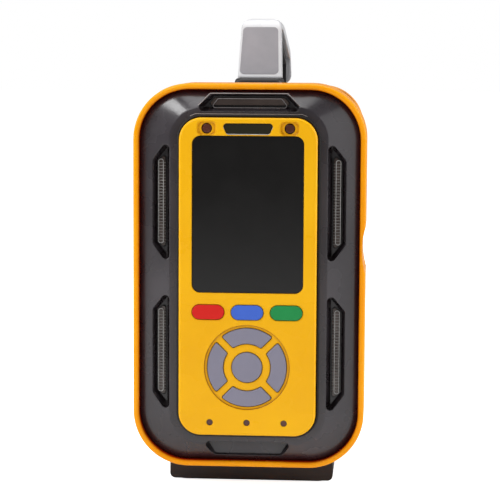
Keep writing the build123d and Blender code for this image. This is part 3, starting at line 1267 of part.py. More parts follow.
for number, (x, z) in enumerate(SENSOR_PLACES, start=1):
    with BuildPart() as sensor:
        rod(SENSOR_RADIUS, SENSOR_FRONT_Y, SENSOR_FRONT_Y + SENSOR_LENGTH, [(x, z)])
        fillet(sensor.faces().filter_by(Axis.Y).edges(), SENSOR_ROUND)
        with BuildSketch(at_y(SENSOR_FRONT_Y)):
            with Locations((x, z)):
                with PolarLocations(SENSOR_PIN_CIRCLE, SENSOR_PIN_COUNT):
                    Circle(SENSOR_PIN_RADIUS)
        extrude(amount=SENSOR_PIN_LENGTH)
    sensor.part.label = f"sensor_{number}"
    export_step(sensor.part, f"parts/sensor_{number}.step")

SENSOR_BOARD_Y = SENSOR_FRONT_Y - SENSOR_BOARD_GAP
with BuildPart() as sensor_board:
    block(
        MANIFOLD_WIDTH,
        MANIFOLD_HEIGHT,
        MANIFOLD_CORNER,
        SENSOR_BOARD_Y - BOARD_THICKNESS,
        SENSOR_BOARD_Y,
        z=MANIFOLD_Z,
    )
    with BuildSketch(at_y(SENSOR_BOARD_Y)):
        with Locations(*SENSOR_PLACES):
            with PolarLocations(SENSOR_PIN_CIRCLE, SENSOR_PIN_COUNT):
                Circle(SENSOR_PIN_RADIUS + THREAD_GAP)
    extrude(amount=BOARD_THICKNESS, mode=Mode.SUBTRACT)
sensor_board.part.label = "sensor_board"
export_step(sensor_board.part, "parts/sensor_board.step")

# Rotary vane pump: cup, rotor and motor on one axis along X
PUMP_IN_Y = PUMP_Y - PUMP_PORT_INSET
PUMP_OUT_Y = PUMP_Y + PUMP_PORT_INSET
PUMP_PORTS = [(NOZZLE_X, PUMP_IN_Y), (NOZZLE_X, PUMP_OUT_Y)]
PUMP_TOP_Z = PUMP_Z + PUMP_HEAD_RADIUS
with BuildPart() as pump_head:
    with BuildSketch(Plane.YZ.offset(PUMP_X)):
        with Locations((PUMP_Y, PUMP_Z)):
            Circle(PUMP_HEAD_RADIUS)
        with Locations((PUMP_Y, PUMP_Z + PUMP_HEAD_RADIUS / 2)):
            Rectangle(2 * PUMP_HEAD_RADIUS, PUMP_HEAD_RADIUS)
    extrude(amount=PUMP_HEAD_LENGTH)
    with BuildSketch(Plane.YZ.offset(PUMP_X)):
        with Locations((PUMP_Y, PUMP_Z + PUMP_OFFSET)):
            Circle(PUMP_CHAMBER_RADIUS)
    extrude(amount=PUMP_CHAMBER_LENGTH, mode=Mode.SUBTRACT)
    root_z = PUMP_TOP_Z - SPIGOT_ROOT
    port_z = PUMP_TOP_Z + SPIGOT_LENGTH
    post(SPIGOT_RADIUS, root_z, port_z, PUMP_PORTS)
    post(SPIGOT_RADIUS / 2, root_z - SPIGOT_ROOT, port_z, PUMP_PORTS, mode=Mode.SUBTRACT)
pump_head.part.label = "pump_head"
export_step(pump_head.part, "parts/pump_head.step")

with BuildPart() as pump_rotor:
    with BuildSketch(Plane.YZ.offset(PUMP_X + ROTOR_GAP)):
        with Locations((PUMP_Y, PUMP_Z)):
            Circle(ROTOR_RADIUS)
            with PolarLocations(ROTOR_RADIUS, VANE_COUNT):
                Rectangle(VANE_DEPTH, VANE_WIDTH, mode=Mode.SUBTRACT)
    extrude(amount=PUMP_CHAMBER_LENGTH - 2 * ROTOR_GAP)
    with BuildSketch(Plane.YZ.offset(PUMP_X + ROTOR_GAP)):
        with Locations((PUMP_Y, PUMP_Z)):
            Circle(SHAFT_RADIUS)
    extrude(amount=-MOTOR_LENGTH / 2)
pump_rotor.part.label = "pump_rotor"
export_step(pump_rotor.part, "parts/pump_rotor.step")

with BuildPart() as pump_motor:
    with BuildSketch(Plane.YZ.offset(PUMP_X)):
        with Locations((PUMP_Y, PUMP_Z)):
            Circle(MOTOR_RADIUS)
    extrude(amount=-MOTOR_LENGTH)
    fillet(pump_motor.faces().sort_by(Axis.X)[0].edges(), MOTOR_ROUND)
    with BuildSketch(Plane.YZ.offset(PUMP_X)):
        with Locations((PUMP_Y, PUMP_Z)):
            Circle(SHAFT_RADIUS + SHAFT_GAP)
    extrude(amount=-MOTOR_LENGTH / 2 - 2 * ROTOR_GAP, mode=Mode.SUBTRACT)
pump_motor.part.label = "pump_motor"
export_step(pump_motor.part, "parts/pump_motor.step")


# Nozzles through the rear cover
def make_nozzle(name, x):
    place = [(x, NOZZLE_Z)]
    seat = COVER_BACK_Y - PANEL_DEPTH
    with BuildPart() as nozzle:
        with BuildSketch(at_y(seat + NOZZLE_HEX_LENGTH)):
            with Locations(*place):
                RegularPolygon(NOZZLE_HEX, 6)
        extrude(amount=NOZZLE_HEX_LENGTH)
        rod(NOZZLE_RADIUS, seat, seat + NOZZLE_HEX_LENGTH + NOZZLE_LENGTH, place)
        chamfer(nozzle.faces().sort_by(Axis.Y)[-1].edges(), NOZZLE_CHAMFER)
        rod(NOZZLE_THREAD, NOZZLE_NUT_Y, seat, place)
        rod(SPIGOT_RADIUS, NOZZLE_SPIGOT_Y, NOZZLE_NUT_Y, place)
        bore_back = seat + NOZZLE_HEX_LENGTH + NOZZLE_LENGTH
        rod(NOZZLE_BORE / 2, NOZZLE_SPIGOT_Y, bore_back, place, mode=Mode.SUBTRACT)
    nozzle.part.label = name
    export_step(nozzle.part, f"parts/{name}.step")


make_nozzle("inlet_nozzle", -NOZZLE_X)
make_nozzle("outlet_nozzle", NOZZLE_X)

# Filter between the inlet nozzle and the gas block
FILTER_BACK_Y = NOZZLE_SPIGOT_Y - FILTER_GAP
FILTER_FRONT_Y = FILTER_BACK_Y - FILTER_LENGTH
with BuildPart() as inlet_filter:
    filter_place = [(-NOZZLE_X, NOZZLE_Z)]
    rod(FILTER_RADIUS, FILTER_FRONT_Y, FILTER_BACK_Y, filter_place)
    chamfer(inlet_filter.faces().filter_by(Axis.Y).edges(), FILTER_CHAMFER)
    rod(SPIGOT_RADIUS, FILTER_FRONT_Y - SPIGOT_LENGTH, FILTER_BACK_Y + SPIGOT_LENGTH, filter_place)
inlet_filter.part.label = "inlet_filter"
export_step(inlet_filter.part, "parts/inlet_filter.step")


# Soft tubes pushed over the spigots
def tube(points, bend):
    """Bored tube along a route of straight runs joined by arcs."""
    with BuildLine():
        route = FilletPolyline(*points, radius=bend)
    with BuildSketch(Plane(origin=route @ 0, z_dir=route % 0)) as section:
        Circle(TUBE_OUTER)
        Circle(TUBE_INNER, mode=Mode.SUBTRACT)
    sweep(section.sketch, path=route)


INLET_DROP_Y = FILTER_FRONT_Y - 2 * TUBE_BEND
with BuildPart() as inlet_tube:
    tube(
        [
            (-NOZZLE_X, FILTER_FRONT_Y - TUBE_END_GAP, NOZZLE_Z),
            (-NOZZLE_X, INLET_DROP_Y, NOZZLE_Z),
            (-NOZZLE_X, INLET_DROP_Y, MANIFOLD_PORT_Z),
            (-NOZZLE_X, MANIFOLD_BACK_Y + TUBE_END_GAP, MANIFOLD_PORT_Z),
        ],
        TUBE_BEND,
    )
    joint_front = FILTER_BACK_Y + TUBE_END_GAP
    joint_back = NOZZLE_NUT_Y - TUBE_END_GAP
    rod(TUBE_OUTER, joint_front, joint_back, [(-NOZZLE_X, NOZZLE_Z)])
    rod(TUBE_INNER, joint_front, joint_back, [(-NOZZLE_X, NOZZLE_Z)], mode=Mode.SUBTRACT)
inlet_tube.part.label = "inlet_tube"
export_step(inlet_tube.part, "parts/inlet_tube.step")

with BuildPart() as pump_tube:
    tube(
        [
            (NOZZLE_X, MANIFOLD_BACK_Y + TUBE_END_GAP, MANIFOLD_PORT_Z),
            (NOZZLE_X, PUMP_IN_Y, MANIFOLD_PORT_Z),
            (NOZZLE_X, PUMP_IN_Y, PUMP_TOP_Z + TUBE_END_GAP),
        ],
        TUBE_BEND,
    )
pump_tube.part.label = "pump_tube"
export_step(pump_tube.part, "parts/pump_tube.step")

with BuildPart() as exhaust_tube:
    tube(
        [
            (NOZZLE_X, PUMP_OUT_Y, PUMP_TOP_Z + TUBE_END_GAP),
            (NOZZLE_X, PUMP_OUT_Y, NOZZLE_Z),
            (NOZZLE_X, NOZZLE_NUT_Y - TUBE_END_GAP, NOZZLE_Z),
        ],
        TUBE_BEND,
    )
exhaust_tube.part.label = "exhaust_tube"
export_step(exhaust_tube.part, "parts/exhaust_tube.step")

# Sockets behind the cover
with BuildPart() as charge_port:
    with BuildSketch(Plane.YZ.offset(BAY_FLOOR_X)):
        with Locations((PORT_Y - PORT_PITCH / 2, PORT_Z)):
            Rectangle(JACK_SIZE, JACK_SIZE)
    extrude(amount=-JACK_LENGTH)
    with BuildSketch(Plane.YZ.offset(BAY_FLOOR_X - BAY_WALL)):
        with Locations((PORT_Y - PORT_PITCH / 2, PORT_Z)):
            Rectangle(JACK_SIZE + 2 * PORT_FLANGE, JACK_SIZE + 2 * PORT_FLANGE)
    extrude(amount=-PORT_FLANGE)
    with BuildSketch(Plane.YZ.offset(BAY_FLOOR_X)):
        with Locations((PORT_Y - PORT_PITCH / 2, PORT_Z)):
            Circle(JACK_BORE)
            Circle(JACK_PIN, mode=Mode.SUBTRACT)
    extrude(amount=-JACK_BORE_DEPTH, mode=Mode.SUBTRACT)
charge_port.part.label = "charge_port"
export_step(charge_port.part, "parts/charge_port.step")

with BuildPart() as data_port:
    with BuildSketch(Plane.YZ.offset(BAY_FLOOR_X)):
        with Locations((PORT_Y + PORT_PITCH / 2, PORT_Z)):
            SlotOverall(SOCKET_WIDTH, SOCKET_HEIGHT)
    extrude(amount=-SOCKET_LENGTH)
    with BuildSketch(Plane.YZ.offset(BAY_FLOOR_X)):
        with Locations((PORT_Y + PORT_PITCH / 2, PORT_Z)):
            SlotOverall(SOCKET_WIDTH - 2 * SOCKET_WALL, SOCKET_HEIGHT - 2 * SOCKET_WALL)
            Rectangle(SOCKET_WIDTH - 2 * TONGUE_MARGIN, TONGUE_THICKNESS, mode=Mode.SUBTRACT)
    extrude(amount=-SOCKET_LENGTH + SOCKET_FLOOR, mode=Mode.SUBTRACT)
    with BuildSketch(Plane.YZ.offset(BAY_FLOOR_X - BAY_WALL)):
        with Locations((PORT_Y + PORT_PITCH / 2, PORT_Z)):
            Rectangle(SOCKET_WIDTH + 2 * PORT_FLANGE, SOCKET_HEIGHT + 2 * PORT_FLANGE)
            SlotOverall(SOCKET_WIDTH, SOCKET_HEIGHT, mode=Mode.SUBTRACT)
    extrude(amount=-PORT_FLANGE)
data_port.part.label = "data_port"
export_step(data_port.part, "parts/data_port.step")

# Hinged cover over the sockets: flat outside, round at the hinge, with a finger tab in front
COVER_HEIGHT = BAY_HEIGHT - 2 * COVER_GAP
COVER_FRONT = BAY_FRONT + COVER_GAP
with BuildPart() as port_cover:
    with BuildSketch(Plane.XY.offset(PORT_Z - COVER_HEIGHT / 2)) as cover_side:
        with Locations((HINGE_X, (COVER_FRONT + HINGE_Y) / 2)):
            Rectangle(COVER_THICKNESS, HINGE_Y - COVER_FRONT)
        with Locations((HINGE_X, HINGE_Y)):
            Circle(COVER_THICKNESS / 2)
    extrude(amount=COVER_HEIGHT)
    fillet(port_cover.edges().filter_by(Axis.X), COVER_ROUND)
    with BuildSketch(Plane.YZ.offset(HINGE_X + COVER_THICKNESS / 2 - TAB_ROOT)):
        with Locations((COVER_FRONT + TAB_LENGTH, PORT_Z)):
            SlotOverall(TAB_HEIGHT, TAB_LENGTH, rotation=90)
    extrude(amount=TAB_ROOT + TAB_PROUD)
    post(
        TRUNNION_RADIUS,
        PORT_Z - COVER_HEIGHT / 2 - TRUNNION_LENGTH,
        PORT_Z + COVER_HEIGHT / 2 + TRUNNION_LENGTH,
        [(HINGE_X, HINGE_Y)],
    )
port_cover.part.label = "port_cover"
export_step(port_cover.part, "parts/port_cover.step")
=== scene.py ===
"""Portable gas detector: materials, light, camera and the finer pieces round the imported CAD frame."""
import json
import math

import bmesh
import bpy
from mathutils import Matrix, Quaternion, Vector

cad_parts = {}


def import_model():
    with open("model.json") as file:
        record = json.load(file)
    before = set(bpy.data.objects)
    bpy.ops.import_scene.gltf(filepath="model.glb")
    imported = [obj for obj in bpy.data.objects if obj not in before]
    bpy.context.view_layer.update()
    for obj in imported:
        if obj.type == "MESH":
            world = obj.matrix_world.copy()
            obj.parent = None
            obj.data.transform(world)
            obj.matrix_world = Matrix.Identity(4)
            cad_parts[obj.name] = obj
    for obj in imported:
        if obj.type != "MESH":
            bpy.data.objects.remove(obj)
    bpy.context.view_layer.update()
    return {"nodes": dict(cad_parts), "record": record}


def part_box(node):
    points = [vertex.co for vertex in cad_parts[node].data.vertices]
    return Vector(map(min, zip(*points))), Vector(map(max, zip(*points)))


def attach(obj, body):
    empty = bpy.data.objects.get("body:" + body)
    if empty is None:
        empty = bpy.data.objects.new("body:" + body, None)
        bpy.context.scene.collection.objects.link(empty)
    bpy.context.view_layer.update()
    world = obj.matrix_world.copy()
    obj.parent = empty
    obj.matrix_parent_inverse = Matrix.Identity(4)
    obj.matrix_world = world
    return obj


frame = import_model()
nodes = frame["nodes"]

MM = 0.001
FRONT = Vector((0, 1, 0))

# Soft edge of each kind of moulding
EDGE_RADIUS = 0.35 * MM
SHELL_EDGE = 0.8 * MM
FACE_EDGE = 0.9 * MM
HANDLE_EDGE = 1.6 * MM

# Side lenses: raised ribs across, lighter grey as a painted highlight on their crests, and a bright
# rail round them, a painted highlight line
RIB_PITCH = 1.4 * MM
RIB_RADIUS = 0.26 * MM
RIB_PAST_INNER = 0.2 * MM
RIB_PAST_OUTER = 0.1 * MM
RAIL_RADIUS = 0.15 * MM
RAIL_PROUD = 0.3 * MM
RAIL_PAST_ENDS = 0.8 * MM
RAIL_OUTER_SHARE = 0.03
RAIL_INNER_SHARE = 0.70
RAIL_CORNER_SHARE = 0.45
LENS_FACE_DEPTH = 0.05 * MM
LENS_EDGE_BAND = 0.6 * MM

# Top pocket: (half width below, half width above, low z, high z, y, line radius)
TOP_LINES = (
    (26.6, 18.2, 181.9, 190.5, -105.7, 0.20),
    (18.4, 15.0, 183.6, 187.9, -99.8, 0.20),
)
TOP_LINE_CORNER = 1.0 * MM
TOP_STRIPE = ((-27.5, 179.9), (-25.0, 180.9), (25.0, 180.9), (27.5, 179.9))
TOP_STRIPE_Y = -106.75 * MM
TOP_STRIPE_RADIUS = 0.16 * MM

# Painted shadow: a black tube in the gap round the yellow face
GAP_SHADOW_OFFSET = 0.75 * MM
GAP_SHADOW_RADIUS = 0.75 * MM
GAP_SHADOW_CORNER = 11.2 * MM
GAP_SHADOW_Y = -106.5 * MM
GAP_SHADOW_STEPS = 12

# Painted highlight: a bright line along the sides and the lower edge of the alarm window
ALARM_TRACE = ((-12.2, 176.5), (-10.4, 171.6), (10.4, 171.6), (12.2, 176.5))
ALARM_CORNER = 1.7 * MM
ALARM_LINE_RADIUS = 0.20 * MM
ALARM_LINE_PROUD = 0.1 * MM

# Grey panel let into the leaning front of the handle
HANDLE_LEAN = 12.0 * MM
PANEL_CORNER = 2.2 * MM
PANEL_PROUD = 0.10 * MM
PANEL_THICKNESS = 0.35 * MM
PANEL_LOW = 2.0 * MM
PANEL_BELOW_TOP = 4.6 * MM
PANEL_SIDES = ((-10.4 * MM, 9.4 * MM), (-9.2 * MM, 8.5 * MM))

FLOOR_SIZE = 12.0
FLOOR_GLOW = 0.88
SKY_SEEN = 1.0
SKY_LIGHT = 0.24

CAMERA_PLACE = Vector((0.0638, -0.9920, 0.2100))
CAMERA_AIM = Vector((0.0006, -0.1025, 0.1168))
CAMERA_ROLL = math.radians(0.30)
CAMERA_LENS = 136.8
SENSOR_WIDTH = 36.0
CAMERA_REACH = 10.0

# Soft studio lamps: (name, place, target, (width, height), watts)
LAMPS = (
    ("key", (-0.55, -0.95, 0.95), (0, -0.05, 0.11), (0.8, 0.8), 4.2),
    ("fill", (0.85, -0.75, 0.45), (0, -0.05, 0.11), (0.6, 0.9), 2.0),
    ("right", (1.1, 0.05, 0.45), (0.02, -0.05, 0.15), (0.5, 0.9), 8.0),
    ("left", (-1.1, -0.10, 0.35), (-0.02, -0.08, 0.12), (0.5, 0.9), 7.0),
    ("slope", (-0.60, -0.45, 0.85), (-0.03, -0.10, 0.15), (0.25, 0.25), 1.9),
    ("top", (0.0, 0.05, 1.1), (0, 0, 0.15), (0.9, 0.9), 7.0),
)


# ---------------------------------------------------------------- node helpers
class Surface:
    """A procedural material on object coordinates, in metres."""

    def __init__(self, name, metallic=0.0, ior=1.46):
        self.material = bpy.data.materials.new(name)
        self.material.use_nodes = True
        self.tree = self.material.node_tree
        self.tree.nodes.clear()
        output = self.tree.nodes.new("ShaderNodeOutputMaterial")
        self.shader = self.tree.nodes.new("ShaderNodeBsdfPrincipled")
        self.link(self.shader.outputs[0], output.inputs["Surface"])
        self.coords = self.tree.nodes.new("ShaderNodeTexCoord").outputs["Object"]
        self.set(Metallic=metallic, IOR=ior)
        self.bump_end = None

    def link(self, source, target):
        self.tree.links.new(source, target)

    def set(self, **values):
        for key, value in values.items():
            self.shader.inputs[key.replace("_", " ")].default_value = value

    def soft_edges(self, radius):
        """Rounds the shading of sharp edges, as a moulding's small radii do."""
        node = self.tree.nodes.new("ShaderNodeBevel")
        node.samples = 6
        node.inputs["Radius"].default_value = radius
        self.bump_end = node.outputs[0]
        self.link(self.bump_end, self.shader.inputs["Normal"])

    def noise(self, size, detail=2.0, stretch=(1, 1, 1)):
        """Noise whose blotches are about `size` metres across."""
        mapping = self.tree.nodes.new("ShaderNodeMapping")
        mapping.inputs["Scale"].default_value = stretch
        self.link(self.coords, mapping.inputs["Vector"])
        node = self.tree.nodes.new("ShaderNodeTexNoise")
        node.inputs["Scale"].default_value = 1.0 / size
        node.inputs["Detail"].default_value = detail
        self.link(mapping.outputs[0], node.inputs["Vector"])
        return node.outputs[0]

    def cells(self, size):
        """Distance to the nearest of scattered points about `size` metres apart."""
        node = self.tree.nodes.new("ShaderNodeTexVoronoi")
        node.inputs["Scale"].default_value = 1.0 / size
        self.link(self.coords, node.inputs["Vector"])
        return node.outputs["Distance"]

    def ramp(self, factor, low, high):
        """Colour ramp between two stops, each (position, colour)."""
        node = self.tree.nodes.new("ShaderNodeValToRGB")
        for element, (place, colour) in zip(node.color_ramp.elements, (low, high)):
            element.position = place
            element.color = (*colour, 1.0)
        self.link(factor, node.inputs[0])
        return node.outputs[0]

    def spread(self, factor, low, high):
        """Stretches the middle of a noise field over a range."""
        node = self.tree.nodes.new("ShaderNodeMapRange")
        node.inputs["From Min"].default_value = 0.3
        node.inputs["From Max"].default_value = 0.7
        node.inputs["To Min"].default_value = low
        node.inputs["To Max"].default_value = high
        self.link(factor, node.inputs["Value"])
        return node.outputs[0]

    def colour(self, dark, light, size, detail=3.0, stretch=(1, 1, 1)):
        """Base colour that drifts between two tones."""
        field = self.noise(size, detail, stretch)
        tone = self.ramp(field, (0.3, dark), (0.7, light))
        self.link(tone, self.shader.inputs["Base Color"])

    def rough(self, low, high, size, stretch=(1, 1, 1)):
        """Roughness that wanders between two values."""
        field = self.noise(size, 3.0, stretch)
        self.link(self.spread(field, low, high), self.shader.inputs["Roughness"])

    def painted_crease_shade(self, shade_tint, reach):
        """Painted shade: multiplies the base colour by a shade tint inside creases narrower than
        `reach` metres, darkening creases, dishes and gaps where shade falls.
        """
        base = self.shader.inputs["Base Color"].links[0].from_socket
        shade = self.tree.nodes.new("ShaderNodeAmbientOcclusion")
        shade.samples = 16
        shade.inputs["Distance"].default_value = reach
        tone = self.ramp(shade.outputs["AO"], (0.35, shade_tint), (0.95, (1, 1, 1)))
        mix = self.tree.nodes.new("ShaderNodeMix")
        mix.data_type = "RGBA"
        mix.blend_type = "MULTIPLY"
        mix.inputs["Factor"].default_value = 1.0
        self.link(base, mix.inputs[6])
        self.link(tone, mix.inputs[7])
        self.link(mix.outputs[2], self.shader.inputs["Base Color"])

    def bump(self, field, height, strength):
        """Adds a bump of about `height` metres on top of any earlier one."""
        node = self.tree.nodes.new("ShaderNodeBump")
        node.inputs["Strength"].default_value = strength
        node.inputs["Distance"].default_value = height
        self.link(field, node.inputs["Height"])
        if self.bump_end is not None:
            self.link(self.bump_end, node.inputs["Normal"])
        self.bump_end = node.outputs[0]
        self.link(self.bump_end, self.shader.inputs["Normal"])


# ---------------------------------------------------------------- kinds of finish
def moulded(
    name, dark, light, rough, grain, depth,
    drift=30 * MM, coat=0.0, edge=EDGE_RADIUS, crease_shade_tint=None, reach=0.0, shine=0.5,
):
    """Moulded plastic: tone drift, fine spark-eroded grain and slightly uneven gloss."""
    s = Surface(name)
    s.soft_edges(edge)
    s.colour(dark, light, drift)
    # Painted shade: creases are darkened by the crease shade tint when one is given
    if crease_shade_tint:
        s.painted_crease_shade(crease_shade_tint, reach)
    s.rough(*rough, drift / 2)
    s.bump(s.noise(50 * MM, 1.0), 0.35 * MM, 0.4)
    s.bump(s.noise(grain), depth, 0.5)
    s.set(Coat_Weight=coat, Coat_Roughness=0.12, Specular_IOR_Level=shine)
    return s.material


def soft(name, dark, light, rough, grain, depth):
    """Soft rubber: matt, with faint dust and a fine pebble grain."""
    s = Surface(name, ior=1.5)
    s.colour(dark, light, 20 * MM, 5.0)
    s.rough(*rough, 12 * MM)
    s.bump(s.cells(grain), depth, 0.5)
    s.bump(s.noise(30 * MM, 1.0), 0.2 * MM, 0.4)
    s.set(Sheen_Weight=0.08, Sheen_Roughness=0.5)
    return s.material


def brushed(name, dark, light, rough, stretch):
    """Brushed or turned metal: long streaks in roughness and bump."""
    s = Surface(name, metallic=1.0)
    s.colour(dark, light, 4 * MM, 4.0, stretch)
    s.rough(*rough, 2 * MM, stretch)
    s.bump(s.noise(0.6 * MM, 2.0, stretch), 0.02 * MM, 0.4)
    return s.material


def glazed(name, dark, light, rough, coat):
    """Dark tinted clear moulding with small flow marks."""
    s = Surface(name, ior=1.45)
    s.soft_edges(EDGE_RADIUS)
    s.colour(dark, light, 10 * MM)
    s.rough(*rough, 20 * MM)
    s.bump(s.noise(20 * MM, 1.0), 0.1 * MM, 0.3)
    s.set(Coat_Weight=coat, Coat_Roughness=0.04)
    return s.material


def board(name):
    """Green circuit board: solder mask over faint copper tracks."""
    s = Surface(name)
    s.set(Roughness=0.35)
    bricks = s.tree.nodes.new("ShaderNodeTexBrick")
    bricks.inputs["Scale"].default_value = 160.0
    bricks.inputs["Color1"].default_value = (0.012, 0.11, 0.04, 1)
    bricks.inputs["Color2"].default_value = (0.015, 0.15, 0.05, 1)
    bricks.inputs["Mortar"].default_value = (0.05, 0.24, 0.09, 1)
    bricks.inputs["Mortar Size"].default_value = 0.05
    turn = s.tree.nodes.new("ShaderNodeMapping")
    turn.inputs["Rotation"].default_value = (math.pi / 2, 0, 0)
    s.link(s.coords, turn.inputs["Vector"])
    s.link(turn.outputs[0], bricks.inputs["Vector"])
    s.link(bricks.outputs[0], s.shader.inputs["Base Color"])
    s.bump(bricks.outputs[1], 0.03 * MM, 0.5)
    return s.material


# ---------------------------------------------------------------- materials
MOULDINGS = {
    # case and face
    # Painted shade: the crease shade tint darkens the frame's creases with a reddish brown
    "black_plastic": dict(
        dark=(0.022, 0.018, 0.022), light=(0.040, 0.034, 0.040), rough=(0.20, 0.34), grain=0.6 * MM,
        depth=0.02 * MM, coat=0.35, edge=SHELL_EDGE, crease_shade_tint=(0.30, 0.18, 0.16), reach=5 * MM,
    ),
    "housing_plastic": dict(
        dark=(0.030, 0.028, 0.030), light=(0.044, 0.041, 0.044), rough=(0.48, 0.62), grain=0.8 * MM,
        depth=0.06 * MM,
    ),
    # Painted shade: the crease shade tint turns the bumper's inner side and creases orange-red
    "amber_rubber": dict(
        dark=(0.94, 0.33, 0.001), light=(1.00, 0.39, 0.002), rough=(0.22, 0.30), grain=0.7 * MM,
        depth=0.01 * MM, edge=SHELL_EDGE, crease_shade_tint=(0.55, 0.07, 0.01), reach=10 * MM, shine=0.2,
    ),
    # Painted shade: the crease shade tint darkens the key gaps, the dishes and the nav ring's outline
    # to orange
    "yellow_plastic": dict(
        dark=(0.89, 0.44, 0.002), light=(0.95, 0.49, 0.004), rough=(0.24, 0.34), grain=0.5 * MM,
        depth=0.01 * MM, edge=FACE_EDGE, crease_shade_tint=(0.30, 0.07, 0.01), reach=2.8 * MM, shine=0.22,
    ),
    "foot_plastic": dict(
        dark=(0.012, 0.010, 0.011), light=(0.020, 0.017, 0.018), rough=(0.45, 0.60), grain=0.7 * MM,
        depth=0.04 * MM,
    ),
    # Painted shadow: colour of the black tube in the gap round the yellow face
    "gap_shadow_black": dict(
        dark=(0.004, 0.004, 0.004), light=(0.007, 0.006, 0.006), rough=(0.6, 0.7), grain=0.6 * MM,
        depth=0.01 * MM,
    ),
    # keys
    "red_key": dict(
        dark=(0.64, 0.012, 0.008), light=(0.72, 0.018, 0.012), rough=(0.34, 0.46), grain=0.4 * MM,
        depth=0.01 * MM, shine=0.25,
    ),
    "blue_key": dict(
        dark=(0.045, 0.12, 0.56), light=(0.060, 0.15, 0.64), rough=(0.34, 0.46), grain=0.4 * MM,
        depth=0.01 * MM, shine=0.3,
    ),
    "green_key": dict(
        dark=(0.008, 0.22, 0.050), light=(0.014, 0.28, 0.070), rough=(0.34, 0.46), grain=0.4 * MM,
        depth=0.01 * MM, shine=0.3,
    ),
    "grey_key": dict(
        dark=(0.215, 0.205, 0.270), light=(0.245, 0.235, 0.305), rough=(0.40, 0.52), grain=0.4 * MM,
        depth=0.01 * MM,
    ),
    # handle
    "handle_metal": dict(
        dark=(0.66, 0.66, 0.68), light=(0.74, 0.74, 0.76), rough=(0.25, 0.36), grain=0.6 * MM,
        depth=0.02 * MM, coat=0.3, edge=HANDLE_EDGE,
    ),
    "handle_panel": dict(
        dark=(0.30, 0.295, 0.315), light=(0.35, 0.335, 0.36), rough=(0.36, 0.46), grain=0.6 * MM,
        depth=0.01 * MM, drift=12 * MM,
    ),
    # lenses and lines
    "red_lens": dict(
        dark=(0.060, 0.012, 0.004), light=(0.095, 0.018, 0.006), rough=(0.2, 0.3), grain=0.6 * MM,
        depth=0.01 * MM, coat=0.4,
    ),
    # The two finishes below are light tones painted as highlights: on the side lens ribs, and on the
    # lines along the lens rails and the alarm window's edge
    "lens_rib_glint": dict(
        dark=(0.15, 0.135, 0.125), light=(0.22, 0.205, 0.19), rough=(0.2, 0.3), grain=0.8 * MM,
        depth=0.01 * MM, coat=0.4,
    ),
    "glint_line": dict(
        dark=(0.48, 0.465, 0.45), light=(0.68, 0.66, 0.64), rough=(0.2, 0.3), grain=0.8 * MM,
        depth=0.01 * MM, coat=0.4,
    ),
    "pocket_line": dict(
        dark=(0.20, 0.18, 0.18), light=(0.34, 0.31, 0.31), rough=(0.25, 0.35), grain=1.0 * MM,
        depth=0.01 * MM, coat=0.3,
    ),
    # inside the case
    "inner_plastic": dict(
        dark=(0.45, 0.45, 0.42), light=(0.55, 0.55, 0.52), rough=(0.4, 0.5), grain=0.6 * MM,
        depth=0.03 * MM,
    ),
    "filter_plastic": dict(
        dark=(0.75, 0.75, 0.73), light=(0.85, 0.85, 0.82), rough=(0.3, 0.4), grain=0.6 * MM,
        depth=0.02 * MM,
    ),
    "sensor_shell": dict(
        dark=(0.75, 0.75, 0.72), light=(0.85, 0.85, 0.82), rough=(0.3, 0.4), grain=0.6 * MM,
        depth=0.02 * MM,
    ),
    "battery_wrap": dict(
        dark=(0.02, 0.07, 0.32), light=(0.03, 0.09, 0.40), rough=(0.2, 0.3), grain=2.0 * MM,
        depth=0.05 * MM,
    ),
    "dark_panel": dict(
        dark=(0.015, 0.015, 0.016), light=(0.025, 0.025, 0.027), rough=(0.35, 0.5), grain=0.6 * MM,
        depth=0.03 * MM,
    ),
}
RUBBERS = {
    "black_rubber": dict(
        dark=(0.012, 0.010, 0.012), light=(0.022, 0.019, 0.021), rough=(0.6, 0.8), grain=0.9 * MM,
        depth=0.08 * MM,
    ),
    "clear_tube": dict(
        dark=(0.60, 0.60, 0.56), light=(0.72, 0.72, 0.68), rough=(0.2, 0.35), grain=1.0 * MM,
        depth=0.01 * MM,
    ),
}
METALS = {
    "steel": dict(
        dark=(0.42, 0.42, 0.44), light=(0.60, 0.60, 0.62), rough=(0.25, 0.40), stretch=(1, 6, 1)
    ),
    "nozzle_metal": dict(
        dark=(0.50, 0.50, 0.52), light=(0.66, 0.66, 0.68), rough=(0.22, 0.37), stretch=(1, 8, 1)
    ),
    "bracket_metal": dict(
        dark=(0.62, 0.62, 0.64), light=(0.76, 0.76, 0.78), rough=(0.30, 0.45), stretch=(6, 1, 1)
    ),
}
GLAZINGS = {
    "screen_glass": dict(
        dark=(0.0035, 0.0030, 0.0028), light=(0.0047, 0.0041, 0.0038), rough=(0.10, 0.16), coat=0.0
    ),
    "smoked_lens": dict(
        dark=(0.050, 0.034, 0.028), light=(0.0675, 0.0459, 0.0378), rough=(0.14, 0.20), coat=0.4
    ),
    "window_lens": dict(
        dark=(0.014, 0.012, 0.004), light=(0.0189, 0.0162, 0.0054), rough=(0.10, 0.16), coat=0.3
    ),
}
MATERIALS = {"green_board": board("green_board")}
for kind, finishes in ((moulded, MOULDINGS), (soft, RUBBERS), (brushed, METALS), (glazed, GLAZINGS)):
    for finish, values in finishes.items():
        MATERIALS[finish] = kind(finish, **values)

# The alarm window shares the lenses' slot, but is darker
FINISH_OF = {"alarm_window": "window_lens"}

for entry in frame["record"]["subparts"]:
    mesh = nodes[entry["node"]].data
    mesh.materials.clear()
    mesh.materials.append(MATERIALS[FINISH_OF.get(entry["node"], entry["material_slot"])])
    for polygon in mesh.polygons:
        polygon.material_index = 0


